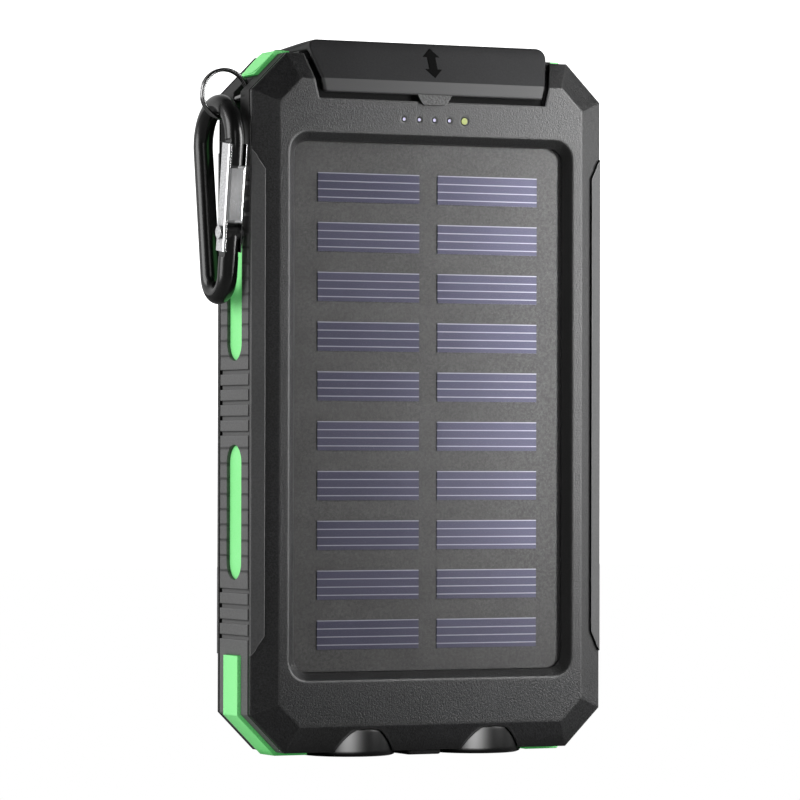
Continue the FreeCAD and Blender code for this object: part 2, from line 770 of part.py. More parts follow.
# ---- Torches (right-hand one; the left is mirrored) --------------------------------------------
def torch_barrel():
    r, n = torch_radius, torch_body_radius
    edge = 0.9
    seat = lens_recess + lens_thickness
    rim = lens_radius + 0.05
    bore = reflector_radius + 0.1
    profile = [(rim, 0), (r - edge, 0), (r - 0.27 * edge, 0.27 * edge), (r, edge), (r, torch_head),
               (n, torch_head + r - n), (n, torch_length), (bore, torch_length), (bore, seat), (rim, seat)]
    return revolve_z(profile, torch_x, 0)


def torch_lens():
    return rod(lens_radius, (torch_x, 0, lens_recess), (torch_x, 0, lens_recess + lens_thickness))


def torch_reflector():
    """Thin parabolic cup between the lens and the emitter."""
    seat = lens_recess + lens_thickness
    steps, spread = 8, reflector_radius - reflector_throat
    outer = []
    for i in range(steps + 1):
        t = i / steps
        outer.append((reflector_throat + spread * math.sqrt(1 - t), seat + reflector_height * t))
    inner = [(r - reflector_wall, z) for r, z in outer]
    return revolve_z(outer + inner[::-1], torch_x, 0)


def torch_emitter():
    base = torch_length + 0.2
    seat = lens_recess + lens_thickness
    top = seat + reflector_height
    slug = rod(emitter_radius, (torch_x, 0, top + 0.6), (torch_x, 0, base))
    dome = rod(dome_radius, (torch_x, 0, top - 0.6), (torch_x, 0, top + 0.7))
    return slug.fuse(dome).removeSplitter()


# ---- Power button ------------------------------------------------------------------------------
def power_button():
    z = button_z
    flange_out = half_w - bumper_wall - 0.1
    flange_in = flange_out - button_flange
    cap = stadium_x(button_length, button_width, flange_in, half_w + button_proud, 0, z)
    grow = 2 * button_flange
    wide = stadium_x(button_length + grow, button_width + grow, flange_in, flange_out, 0, z)
    stem = rod(stem_radius, (half_w - skirt_in - 0.1, 0, z), (flange_in + 0.1, 0, z))
    return cap.fuse([wide, stem]).removeSplitter()


def button_switch():
    """Tact switch on its riser at the edge of the main board."""
    x1 = half_w - skirt_in - 0.1 - button_travel - 0.05
    z = button_z
    riser = box(pcb_half - 2.5, pcb_half + 1.0, pcb_y - 6.5, pcb_y, z - 3, z + 3)
    body = box(pcb_half + 1.0, x1 - 0.8, -2.4, 2.4, z - 2.4, z + 2.4)
    plunger = rod(0.9, (x1 - 0.9, 0, z), (x1, 0, z))
    return riser.fuse([body, plunger]).removeSplitter()


# ---- Lanyard, ring and carabiner ---------------------------------------------------------------
def lanyard_pin():
    return rod(pin_radius, (pin_x, ring_y - pin_length / 2, pin_z), (pin_x, ring_y + pin_length / 2, pin_z))


def split_ring():
    """Two touching turns of wire, drawn as one band with rounded edges."""
    r = ring_wire / 2
    flat = ring_turns_width / 2 - r
    mid = ring_outer - r
    c = V(ring_x, ring_y, ring_z)
    low_in, low_out = c + V(mid - r, -flat, 0), c + V(mid + r, -flat, 0)
    high_out, high_in = c + V(mid + r, flat, 0), c + V(mid - r, flat, 0)
    curves = [Part.Arc(low_in, c + V(mid, -flat - r, 0), low_out), Part.LineSegment(low_out, high_out),
              Part.Arc(high_out, c + V(mid, flat + r, 0), high_in), Part.LineSegment(high_in, low_in)]
    return Part.Face(Part.Wire([curve.toShape() for curve in curves])).revolve(c, Y, 360)


def link_frame():
    """Centres of the two arcs and the lean of the straight sides, in degrees."""
    top = link_top_z - link_top_radius
    low = top - link_span
    lean = math.degrees(math.asin((link_top_radius - link_low_radius) / link_span))
    return top, low, lean


def on_gate_line(shape):
    """Move a shape drawn upright at the origin onto the carabiner's front straight."""
    _, low, lean = link_frame()
    a = math.radians(lean)
    foot = V(link_x, link_y - link_low_radius * math.cos(a), low - link_low_radius * math.sin(a))
    shape = shape.copy()
    shape.rotate(V(0, 0, 0), X, lean)
    shape.translate(foot)
    return shape


def rod_arc(centre_z, radius, start, sweep):
    """Round bar bent about (link_y, centre_z); angles from +Y towards +Z."""
    a = math.radians(start)
    at = V(link_x, link_y + radius * math.cos(a), centre_z + radius * math.sin(a))
    circle = Part.Circle(at, V(0, -math.sin(a), math.cos(a)), rod_radius)
    face = Part.Face(Part.Wire(circle.toShape()))
    return face.revolve(V(link_x, link_y, centre_z), X, sweep)


def carabiner_body():
    top, low, lean = link_frame()
    a = math.radians(lean)
    thin_from, thin_to = 3.8, gate_high + 0.8
    side = math.sqrt(link_span ** 2 - (link_top_radius - link_low_radius) ** 2)
    arc_spare = math.degrees((thin_to - side) / link_top_radius)
    hook = rod_arc(top, link_top_radius, -lean, 180 + 2 * lean - arc_spare)
    nose_arc = rod_arc(top, link_top_radius, 180 + lean - arc_spare, arc_spare)
    foot = rod_arc(low, link_low_radius, 180 + lean, 180 - 2 * lean)
    spine_low = (link_x, link_y + link_low_radius * math.cos(a), low - link_low_radius * math.sin(a))
    spine_top = (link_x, link_y + link_top_radius * math.cos(a), top - link_top_radius * math.sin(a))
    spine = rod(rod_radius, spine_low, spine_top)
    stub = on_gate_line(rod(rod_radius, (0, 0, 0), (0, 0, thin_from)))
    thin = box(-tongue_half, tongue_half, -30, 30, -10, 60)
    tongue = rod(rod_radius, (0, 0, thin_from), (0, 0, rivet_height)).common(thin)
    eye = rod(rod_radius, (-tongue_half, 0, rivet_height), (tongue_half, 0, rivet_height))
    eye = eye.cut(rod(rivet_radius + rivet_gap, (-5, 0, rivet_height), (5, 0, rivet_height)))
    tongue = tongue.cut(rod(rivet_radius + rivet_gap, (-5, 0, rivet_height), (5, 0, rivet_height)))
    nose = rod(rod_radius, (0, 0, nose_low), (0, 0, side)).common(thin)
    thin_hook = box(link_x - tongue_half, link_x + tongue_half, -60, 60, 0, 200)
    body = hook.fuse([spine, foot, stub, nose_arc.common(thin_hook), on_gate_line(tongue), on_gate_line(eye),
                      on_gate_line(nose)])
    spring_room = rod(1.5, (-0.7, 0, rivet_height), (0.7, 0, rivet_height))
    return body.cut(on_gate_line(spring_room)).removeSplitter()


def carabiner_gate():
    """Folded channel with open ends that straddle the tongue and the nose."""
    out, edge = gate_inner + gate_wall, gate_inner
    blank = box(-out, out, -out, edge, gate_low, gate_high)
    blank = blank.makeFillet(0.8, [e for e in blank.Edges if abs(e.tangentAt(e.FirstParameter).z) > 0.9
                                   and e.CenterOfMass.y < 0])
    blank = blank.cut(box(-gate_inner, gate_inner, -gate_inner - 0.25, edge + 1, gate_low - 1, gate_high + 1))
    web_low, web_high = rivet_height + 2.6, nose_low - 0.4
    blank = blank.cut(box(-gate_inner, gate_inner, -out - 1, 0, gate_low - 1, web_low))
    blank = blank.cut(box(-gate_inner, gate_inner, -out - 1, 0, web_high, gate_high + 1))
    blank = blank.cut(rod(rivet_radius + rivet_gap, (-5, 0, rivet_height), (5, 0, rivet_height)))
    return on_gate_line(blank)


def gate_rivet():
    reach = gate_inner + gate_wall + 0.1
    shank = rod(rivet_radius, (-reach - 0.2, 0, rivet_height), (reach + 0.2, 0, rivet_height))
    heads = [rod(1.3, (s * reach, 0, rivet_height), (s * (reach + 0.4), 0, rivet_height)) for s in (-1, 1)]
    return on_gate_line(shank.fuse(heads).removeSplitter())


def gate_spring():
    """Coil of the small torsion spring on the rivet, inside the tongue."""
    coil = rod(1.35, (-0.6, 0, rivet_height), (0.6, 0, rivet_height))
    return on_gate_line(coil.cut(rod(rivet_radius + rivet_gap, (-2, 0, rivet_height), (2, 0, rivet_height))))


# ---- Nodes -------------------------------------------------------------------------------------
places = light_places()
nodes = {
    "front_shell": front_shell(),
    "back_shell": back_shell(),
    "front_seal": seal(-1),
    "back_seal": seal(1),
    "right_bumper": right_bumper(),
    "left_bumper": left_bumper(),
    "right_insert": right_insert(),
    "left_insert": left_insert(),
    "foot_pad": foot_pad(),
    "panel_cover": panel_cover(),
    "solar_cells": solar_cells(),
    "solar_board": solar_board(),
    "panel_tape": panel_tape(),
    "port_flap": port_flap(),
    "flap_anchor": flap_anchor(),
    "port_deck": port_deck(),
    "micro_usb_port": port_shell(0, micro_width, micro_height, micro_depth),
    "micro_usb_tongue": port_tongue(0, micro_height, micro_depth, micro_tongue_width, micro_tongue_height,
                                    micro_tongue_length - 2, 0.3),
    "main_board": main_board(),
    "board_screws": board_screws(),
    "board_chips": board_chips(),
    "inductor": inductor(),
    "indicator_leds": indicator_leds(),
    "level_light_pipes": light_pipes(places[:-1]),
    "solar_light_pipe": light_pipes(places[-1:]),
    "solar_leads": solar_leads(),
    "battery_cell": battery_cell(),
    "battery_foam": battery_foam(),
    "battery_tabs": battery_tabs(),
    "torch_board": torch_board(),
    "torch_flex": torch_flex(),
    "case_screws": case_screws(),
    "power_button": power_button(),
    "button_switch": button_switch(),
    "lanyard_pin": lanyard_pin(),
    "split_ring": split_ring(),
    "carabiner_body": carabiner_body(),
    "carabiner_gate": carabiner_gate(),
    "gate_rivet": gate_rivet(),
    "gate_spring": gate_spring(),
}
for name, side in (("left", -1), ("right", 1)):
    nodes[name + "_usb_port"] = port_shell(side * usb_spacing, usb_width, usb_height, usb_depth)
    nodes[name + "_usb_tongue"] = usb_tongue(side)
    nodes["front_strip_" + name] = bevel_strip(-1, side)
    nodes["back_strip_" + name] = bevel_strip(1, side)
    for piece, make in (("barrel", torch_barrel), ("lens", torch_lens), ("reflector", torch_reflector),
                        ("emitter", torch_emitter)):
        shape = make()
        nodes["%s_torch_%s" % (name, piece)] = shape if side > 0 else mirrored_x(shape)

os.makedirs("parts", exist_ok=True)
for name, shape in nodes.items():
    shape.exportStep("parts/%s.step" % name)
    solids = len(shape.Solids)
    print("%-20s solids %2d valid %s volume %8.1f" % (name, solids, shape.isValid(), shape.Volume))
print("nodes", len(nodes))
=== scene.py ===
"""Solar phone charger: a rubber-cornered case with a port flap, two torches, a split ring and a carabiner.

Metres throughout. +Z runs up the case, the solar panel faces -Y and +X is to its right.
"""
import json
import math

import bmesh
import bpy
import numpy as np
from mathutils import Matrix, Vector

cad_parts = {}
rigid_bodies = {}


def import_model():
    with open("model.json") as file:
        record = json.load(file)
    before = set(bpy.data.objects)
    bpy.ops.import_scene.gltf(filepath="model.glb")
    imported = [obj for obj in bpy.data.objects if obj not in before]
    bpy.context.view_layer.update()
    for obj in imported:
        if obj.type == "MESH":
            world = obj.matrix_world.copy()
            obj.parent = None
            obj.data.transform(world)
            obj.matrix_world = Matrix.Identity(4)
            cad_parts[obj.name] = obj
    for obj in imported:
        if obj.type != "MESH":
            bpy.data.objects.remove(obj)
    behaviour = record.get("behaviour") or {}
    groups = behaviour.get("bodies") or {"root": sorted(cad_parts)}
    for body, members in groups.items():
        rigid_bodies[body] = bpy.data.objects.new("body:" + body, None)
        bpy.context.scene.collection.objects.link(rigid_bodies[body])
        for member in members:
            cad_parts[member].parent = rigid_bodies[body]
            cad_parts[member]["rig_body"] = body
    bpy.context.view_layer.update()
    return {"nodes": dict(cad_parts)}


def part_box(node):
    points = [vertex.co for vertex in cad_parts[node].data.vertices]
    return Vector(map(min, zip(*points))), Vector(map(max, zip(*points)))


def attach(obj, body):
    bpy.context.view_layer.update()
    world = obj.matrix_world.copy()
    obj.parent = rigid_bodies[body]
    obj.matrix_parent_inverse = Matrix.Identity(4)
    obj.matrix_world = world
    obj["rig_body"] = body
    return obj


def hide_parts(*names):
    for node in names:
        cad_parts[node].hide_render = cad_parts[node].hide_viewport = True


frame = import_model()

# ---- Inner case: two glass-filled nylon shells ---------------------------------------------------
# Two moulded halves hold everything. Their skin is a fine spark-eroded grain, paler on the corners as rubbed
# wear and painted highlight, and each corner is broken by the mould. Six screws from the back pull the halves
# together.


def connect(tree, value, socket):
    """Link an output to a socket, or set a plain number, colour or vector on the socket itself."""
    if isinstance(value, bpy.types.NodeSocket):
        tree.links.new(value, socket)
    else:
        socket.default_value = value


def put(tree, kind, inputs=(), **settings):
    """Add a node, set its own settings, then its inputs as (name or index, value or output) pairs."""
    made = tree.nodes.new("ShaderNode" + kind)
    for key, value in settings.items():
        setattr(made, key, value)
    for key, value in inputs:
        connect(tree, value, made.inputs[key])
    return made


def maths(tree, what, a, b=0.0, clamp=False):
    """One step of arithmetic on two values, as an output."""
    return put(tree, "Math", ((0, a), (1, b)), operation=what, use_clamp=clamp).outputs[0]


def blended(tree, share, first, second, mode="MIX"):
    """Colour between first and second by a share from 0 to 1."""
    mix = put(tree, "Mix", ((0, share), (6, first), (7, second)), data_type="RGBA", blend_type=mode)
    return mix.outputs[2]


def spread(tree, value, low, high, start=0.0, end=1.0):
    """Value taken from the range low to high onto start to end, clamped."""
    return put(tree, "MapRange", ((0, value), (1, low), (2, high), (3, start), (4, end))).outputs[0]


def product(tree, first, *others):
    """Several values multiplied together."""
    for each in others:
        first = maths(tree, "MULTIPLY", first, each)
    return first


def spot(tree):
    """X, Y and Z of the shaded spot in the charger's frame."""
    return put(tree, "SeparateXYZ", (("Vector", put(tree, "TexCoord").outputs["Object"]),)).outputs


def turned_towards(tree, share, colour, socket="Base Color"):
    """Blend what a shader's colour socket holds with another colour, by a share from 0 to 1."""
    target = tree.nodes["Principled BSDF"].inputs[socket]
    held = target.links[0].from_socket if target.is_linked else tuple(target.default_value)
    connect(tree, blended(tree, share, held, (*colour, 1)), target)


def effect(name, inputs, outputs):
    """A new shader node group with named float inputs and outputs of the given kinds."""
    tree = bpy.data.node_groups.new(name, "ShaderNodeTree")
    sockets = tree.interface
    for label, value in inputs:
        sockets.new_socket(name=label, in_out="INPUT", socket_type="NodeSocketFloat").default_value = value
    for label, kind in outputs:
        sockets.new_socket(name=label, in_out="OUTPUT", socket_type="NodeSocket" + kind)
    return tree, tree.nodes.new("NodeGroupInput").outputs, tree.nodes.new("NodeGroupOutput").inputs


def moulded_grain():
    """Grain height is fine noise at Size plus half as much noise three times finer; Mottle is slow noise."""
    tree, given, result = effect("moulded grain", (("Size", 3000.0), ("Patch", 60.0)),
                                 (("Grain", "Float"), ("Mottle", "Float")))
    at = put(tree, "TexCoord").outputs["Object"]
    coarse = put(tree, "TexNoise", (("Vector", at), ("Scale", given["Size"]), ("Detail", 2.0))).outputs[0]
    triple = product(tree, given["Size"], 3.1)
    fine = put(tree, "TexNoise", (("Vector", at), ("Scale", triple), ("Detail", 1.0))).outputs[0]
    patch = put(tree, "TexNoise", (("Vector", at), ("Scale", given["Patch"]), ("Detail", 4.0))).outputs[0]
    connect(tree, maths(tree, "ADD", coarse, product(tree, fine, 0.5)), result["Grain"])
    connect(tree, spread(tree, patch, 0.3, 0.7), result["Mottle"])
    return tree


def broken_edge():
    """Normal is the surface's own, rounded within Radius of a corner; the other output, how far it was turned
    there, pales edges as wear and painted highlight.
    """
    tree, given, result = effect("broken edge", (("Radius", 0.0003),),
                                 (("Normal", "Vector"), ("RubAndHighlight", "Float")))
    eased = put(tree, "Bevel", (("Radius", given["Radius"]),), samples=6).outputs[0]
    own = put(tree, "NewGeometry").outputs["Normal"]
    facing = put(tree, "VectorMath", ((0, eased), (1, own)), operation="DOT_PRODUCT").outputs["Value"]
    turned = maths(tree, "SUBTRACT", 1.0, facing)
    connect(tree, eased, result["Normal"])
    connect(tree, spread(tree, turned, 0.004, 0.07), result["RubAndHighlight"])
    return tree


def shaded_crease():
    """Shade is how much of the nearby space within Reach is closed off by the object itself."""
    tree, given, result = effect("shaded crease", (("Reach", 0.0015),), (("Shade", "Float"),))
    open_sky = put(tree, "AmbientOcclusion", (("Distance", given["Reach"]),), samples=6).outputs["AO"]
    connect(tree, spread(tree, open_sky, 0.35, 0.95, 1.0, 0.0), result["Shade"])
    return tree


grain_effect, edge_effect, crease_effect = moulded_grain(), broken_edge(), shaded_crease()


def skin(name, dark, light, rough=(0.45, 0.6), size=3000.0, depth=0.00002, radius=0.0003, rub_and_highlight=0.25,
         highlight_tone=(0.3, 0.3, 0.3), patch=60.0, crease=0.85, reach=0.0015, speckle=0.15,
         metallic=0.0, **plain):
    """A moulded, rubbed or machined finish.

    Colour runs from dark to light with the mottle, is made lighter and darker by speckle with the grain, then
    goes part way to a paler tone on the corners, as rubbed wear and painted highlight, and towards black in
    the creases as painted shade. Roughness runs between two values with the mottle, and the grain is raised
    by depth.
    Other names set plain sockets.
    """
    made = bpy.data.materials.new(name)
    made.use_nodes = True
    tree = made.node_tree
    shader = tree.nodes["Principled BSDF"]
    grain = put(tree, "Group", (("Size", size), ("Patch", patch)), node_tree=grain_effect)
    edge = put(tree, "Group", (("Radius", radius),), node_tree=edge_effect)
    tone = blended(tree, grain.outputs["Mottle"], (*dark, 1), (*light, 1))
    grey = spread(tree, grain.outputs["Grain"], 0.55, 0.95, 1 - speckle, 1 + speckle)
    grey = put(tree, "CombineXYZ", ((0, grey), (1, grey), (2, grey))).outputs[0]
    tone = blended(tree, 1.0, tone, grey, "MULTIPLY")
    # Corners go paler: partly rubbed wear, partly a painted highlight.
    colour = blended(tree, product(tree, edge.outputs["RubAndHighlight"], rub_and_highlight), tone, (*highlight_tone, 1))
    # Painted shade: the colour goes towards black where the object closes off the space around a spot.
    if crease:
        crease_shade_node = put(tree, "Group", (("Reach", reach),), node_tree=crease_effect)
        crease_shade_share = product(tree, crease_shade_node.outputs["Shade"], crease)
        colour = blended(tree, crease_shade_share, colour, (0.002, 0.002, 0.002, 1))
    bump = put(tree, "Bump", (("Height", grain.outputs["Grain"]), ("Distance", depth), ("Strength", 1.0),
                              ("Normal", edge.outputs["Normal"])))
    connect(tree, colour, shader.inputs["Base Color"])
    connect(tree, spread(tree, grain.outputs["Mottle"], 0.0, 1.0, *rough), shader.inputs["Roughness"])
    connect(tree, bump.outputs[0], shader.inputs["Normal"])
    shader.inputs["Metallic"].default_value = metallic
    for key, value in plain.items():
        shader.inputs[key.replace("_", " ").title().replace("Ior", "IOR")].default_value = value
    return made


def wear(finish, *names):
    """Give carried pieces one finish."""
    for each in names:
        mesh = frame["nodes"][each].data
        mesh.materials.clear()
        mesh.materials.append(finish)


case_black = skin("case black", (0.010, 0.010, 0.010), (0.014, 0.014, 0.015), rough=(0.29, 0.33), size=2900.0,
                  depth=0.00005, radius=0.0007, rub_and_highlight=0.6, highlight_tone=(0.13, 0.13, 0.13), speckle=0.8, reach=0.004)
slope_wide, slope_lap = 0.0021, 0.0004
slope_from, slope_to, slope_shade_share, slope_dull = 0.0001, 0.0004, 0.9, 0.1
rim_from, rim_to, seam_shade_share = 0.0007, 0.0003, 0.85


def paint_slope_and_seam_shade(finish):
    """Paint shade on the window's right and lower slopes and on the last bit of the bevel before the parting
    line.

    A slope is where X or Z passes the cover's edge, less slope_lap, and stays within slope_wide beyond it. It
    fades in behind the face from slope_from to slope_to. The rim fades in from rim_from to rim_to ahead of
    the seal.
    """
    tree = finish.node_tree
    at = spot(tree)
    low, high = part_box("panel_cover")
    face_y, seam_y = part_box("front_shell")[0].y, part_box("front_seal")[0].y
    middle = (low.z + high.z) / 2
    from_middle = maths(tree, "ABSOLUTE", maths(tree, "SUBTRACT", at["Z"], middle))
    across = maths(tree, "LESS_THAN", maths(tree, "ABSOLUTE", at["X"]), high.x + slope_wide)
    up = maths(tree, "LESS_THAN", from_middle, high.z - middle + slope_wide)
    right = maths(tree, "GREATER_THAN", at["X"], high.x - slope_lap)
    lower = maths(tree, "LESS_THAN", at["Z"], low.z + slope_lap)
    deep = spread(tree, at["Y"], face_y + slope_from, face_y + slope_to)
    window = product(tree, across, up, maths(tree, "MAXIMUM", right, lower), deep)
    rim = spread(tree, at["Y"], seam_y - rim_from, seam_y - rim_to)
    share = maths(tree, "MAXIMUM", product(tree, window, slope_shade_share), product(tree, rim, seam_shade_share))
    turned_towards(tree, share, (0.0005, 0.0005, 0.0005))
    roughness = tree.nodes["Principled BSDF"].inputs["Roughness"]
    before = roughness.links[0].from_socket
    connect(tree, maths(tree, "ADD", before, product(tree, window, slope_dull)), roughness)


# Painted shade on the window's right and lower slopes and along the parting line.
paint_slope_and_seam_shade(case_black)
wear(case_black, "front_shell", "back_shell")

# ---- Seals between the shells and the bumpers -----------------------------------------------------
# Soft cord of black silicone laid in the parting line on both sides. It is squeezed as the case closes, and
# shows only as a dark line.
seal_black = skin("seal black", (0.006, 0.006, 0.006), (0.012, 0.012, 0.012), rough=(0.6, 0.75), rub_and_highlight=0.0)
wear(seal_black, "front_seal", "back_seal")

# ---- Bumpers ---------------------------------------------------------------------------------------
# Grey thermoplastic rubber moulded as two straps round the case's edge, with grip grooves across them. The
# skin is matt, the groove lips are paler as polish from handling and painted highlight, the grooves carry
# painted shade, and the skin is darker towards the upper end.


def closed_copy(node, corner, steps=2, angle=24.0):
    """A copy that replaces a carried piece: triangles joined, flats made whole, corners rounded by corner.

    Only edges that turn by more than angle degrees are rounded, in the given number of steps.
    """
    source = frame["nodes"][node]
    shape = bmesh.new()
    shape.from_mesh(source.data)
    bmesh.ops.remove_doubles(shape, verts=shape.verts, dist=2e-6)
    bmesh.ops.dissolve_limit(shape, angle_limit=math.radians(0.6), verts=shape.verts, edges=shape.edges)
    mesh = bpy.data.meshes.new(node + "_softened")
    shape.to_mesh(mesh)
    shape.free()
    mesh.shade_smooth()
    piece = bpy.data.objects.new(node + "_softened", mesh)
    bpy.context.scene.collection.objects.link(piece)
    bevel = piece.modifiers.new("corners", "BEVEL")
    bevel.width, bevel.segments, bevel.limit_method = corner, steps, "ANGLE"
    bevel.angle_limit, bevel.harden_normals = math.radians(angle), True
    bevel.miter_outer, bevel.use_clamp_overlap = "MITER_ARC", True
    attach(piece, source["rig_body"])
    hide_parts(node)
    return piece


def softened(node, corner, finish, slot, **options):
    """A closed copy in one finish; the slot argument is not used."""
    piece = closed_copy(node, corner, **options)
    piece.data.materials.clear()
    piece.data.materials.append(finish)
    return piece


bumper_grey = skin("bumper grey", (0.120, 0.120, 0.120), (0.140, 0.140, 0.141), rough=(0.55, 0.68),
                   size=3400.0, depth=0.00002, radius=0.0004, rub_and_highlight=0.25, highlight_tone=(0.20, 0.20, 0.20), crease=0.35,
                   reach=0.0009)
groove_pitch, groove_half, groove_deep, groove_shade_share = 0.00308, 0.00045, 0.0003, 0.3
pads_middle, pads_from, pads_to = 0.071, 0.0085, 0.0362
black_from, black_to, black_share = 0.1165, 0.1195, 0.93


def grooved(finish):
    """Carry the grip grooves on past the pads, as shallow dips, and darken the strap towards its upper end.

    Beside the pads, the distance to the nearest whole pitch from mid height gives a dip that is deepest at
    the pitch and gone at the groove's half width. The dip bends the normal and darkens the tone as painted
    shade.
    """
    tree = finish.node_tree
    at = spot(tree)
    up = maths(tree, "ABSOLUTE", maths(tree, "SUBTRACT", at["Z"], pads_middle))
    beside = product(tree, maths(tree, "GREATER_THAN", up, pads_from), maths(tree, "LESS_THAN", up, pads_to))
    off = maths(tree, "PINGPONG", up, groove_pitch / 2)
    dip = product(tree, spread(tree, off, 0.0, groove_half, 1.0, 0.0), beside)
    normal = tree.nodes["Principled BSDF"].inputs["Normal"]
    before = normal.links[0].from_socket
    bump = put(tree, "Bump", (("Height", dip), ("Distance", groove_deep), ("Normal", before)), invert=True)
    connect(tree, bump.outputs[0], normal)
    high = spread(tree, at["Z"], black_from, black_to, 0.0, black_share)
    share = maths(tree, "MAXIMUM", product(tree, dip, groove_shade_share), high)
    turned_towards(tree, share, (0.008, 0.008, 0.008))


grooved(bumper_grey)
wear(bumper_grey, "left_bumper", "right_bumper")

# ---- Green inserts ---------------------------------------------------------------------------------
# A second shot of bright fluorescent rubber under each bumper. It shows as recessed pads in the side slots
# and as swollen pads in the corner windows. A faint emission paints light into the green.
accent_green = skin("accent green", (0.28, 0.86, 0.30), (0.35, 0.93, 0.38), rough=(0.48, 0.6), size=3000.0,
                    depth=0.00001, radius=0.0004, rub_and_highlight=0.0, crease=0.5, emission_color=(0.10, 0.75, 0.16, 1),
                    emission_strength=0.24)
softened("left_insert", 0.0005, accent_green, "accent_green", steps=3)
softened("right_insert", 0.0005, accent_green, "accent_green", steps=3)


def solid_from(name, points, faces, finish, body):
    """A mesh piece from an array of points and a list of faces, riding on a body."""
    mesh = bpy.data.meshes.new(name)
    mesh.from_pydata(points.tolist(), [], faces)
    mesh.materials.append(finish)
    mesh.update()
    piece = bpy.data.objects.new(name, mesh)
    bpy.context.scene.collection.objects.link(piece)
    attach(piece, body)
    return piece


def facing_out(piece, merge=None, crisp=None):
    """Turn a closed piece's faces outwards and shade it smooth.

    Points closer than merge are joined first, and edges that turn by more than crisp degrees stay sharp.
    """
    shape = bmesh.new()
    shape.from_mesh(piece.data)
    if merge:
        bmesh.ops.remove_doubles(shape, verts=shape.verts, dist=merge)
    bmesh.ops.recalc_face_normals(shape, faces=shape.faces)
    shape.to_mesh(piece.data)
    shape.free()
    piece.data.shade_smooth()
    if crisp:
        piece.data.set_sharp_from_angle(angle=math.radians(crisp))
    return piece


def crown(name, path, half_wide, rise, sink=0.00012, flat=4.0, blunt=0.45, rows=65, columns=21, blur=7):
    """Swollen top of a corner pad, carried along an (x, z) path that is smoothed over blur rows each way.

    With u from -1 to 1 along the path and v across it, the skin stands off the path by rise times the root
    of (1 - |u| to the power flat) times the root of (1 - v squared), less sink. The underside lies sink
    below the path, and both meet at the rim. The width shrinks to blunt of its full size at the two ends.
    """
    path = np.asarray(path, float)
    run = np.concatenate([[0], np.cumsum(np.linalg.norm(np.diff(path, axis=0), axis=1))])
    along = np.linspace(0, run[-1], rows)
    line = np.stack([np.interp(along, run, path[:, 0]), np.interp(along, run, path[:, 1])], 1)
    kernel = np.ones(2 * blur + 1) / (2 * blur + 1)
    padded = np.vstack([np.repeat(line[:1], blur, 0), line, np.repeat(line[-1:], blur, 0)])
    soft = np.stack([np.convolve(padded[:, axis], kernel, "valid") for axis in (0, 1)], 1)
    tangent = np.gradient(soft, axis=0)
    tangent /= np.linalg.norm(tangent, axis=1)[:, None]
    normal = np.stack([-tangent[:, 1], tangent[:, 0]], 1)
    u, v = np.meshgrid(np.linspace(-1, 1, rows), np.linspace(-1, 1, columns), indexing="ij")
    v = np.sin(v * math.pi / 2)
    ends = np.sqrt(np.clip(1 - np.abs(u) ** flat, 0, 1))
    lift = rise * ends * np.sqrt(np.clip(1 - v ** 2, 0, 1)) - sink
    wide = half_wide * v * (blunt + (1 - blunt) * ends)

    def sheet(height):
        return np.stack([soft[:, None, 0] + normal[:, None, 0] * height, wide + 0 * height,
                         soft[:, None, 1] + normal[:, None, 1] * height], -1).reshape(-1, 3)

    top, under = sheet(lift), sheet(np.full(u.shape, -sink))
    row, column = np.meshgrid(np.arange(rows - 1), np.arange(columns - 1), indexing="ij")
    here = (row * columns + column).reshape(-1)
    quads = np.stack([here, here + 1, here + columns + 1, here + columns], 1)
    faces = np.vstack([quads, quads[:, ::-1] + rows * columns]).tolist()
    piece = solid_from(name, np.vstack([top, under]), faces, accent_green, "case")
    return facing_out(piece, merge=1e-6)


pad_top, pad_half, pad_rise = 0.1417, 0.0034, 0.0011
pad_from, pad_bend, pad_end = -0.0290, -0.03184, (-0.0367, 0.13684)
crown("top_pad_crown", [(pad_from, pad_top), (pad_bend, pad_top), pad_end], pad_half, pad_rise, flat=2.5)

# ---- Bevel strips ----------------------------------------------------------------------------------
# Four moulded strips of satin grey plastic with stepped ends, glued on the long slopes. Their edges are
# painted a little paler, as rubbed wear and painted highlight.
strip_grey = skin("strip grey", (0.060, 0.060, 0.061), (0.076, 0.076, 0.077), rough=(0.38, 0.46), size=2600.0,
                  depth=0.00001, radius=0.00025, rub_and_highlight=0.6, highlight_tone=(0.22, 0.22, 0.22))
wear(strip_grey, "front_strip_left", "front_strip_right", "back_strip_left", "back_strip_right")

# ---- Foot ------------------------------------------------------------------------------------------
# A block of nearly black rubber between the torches, on which the case stands. Its corners are rounded by
# the mould.
foot_rubber = skin("foot rubber", (0.020, 0.020, 0.020), (0.030, 0.030, 0.030), rough=(0.6, 0.75))
softened("foot_pad", 0.0004, foot_rubber, "bumper_grey")

# ---- Solar laminate --------------------------------------------------------------------------------
# Twenty silicon cells on a black board, under a satin clear sheet. Thin silver fingers are printed across
# each cell. The board is taped behind the window's edge.
row_pitch, finger_pitch, finger_wide = 0.00998, 0.00162, 0.00020


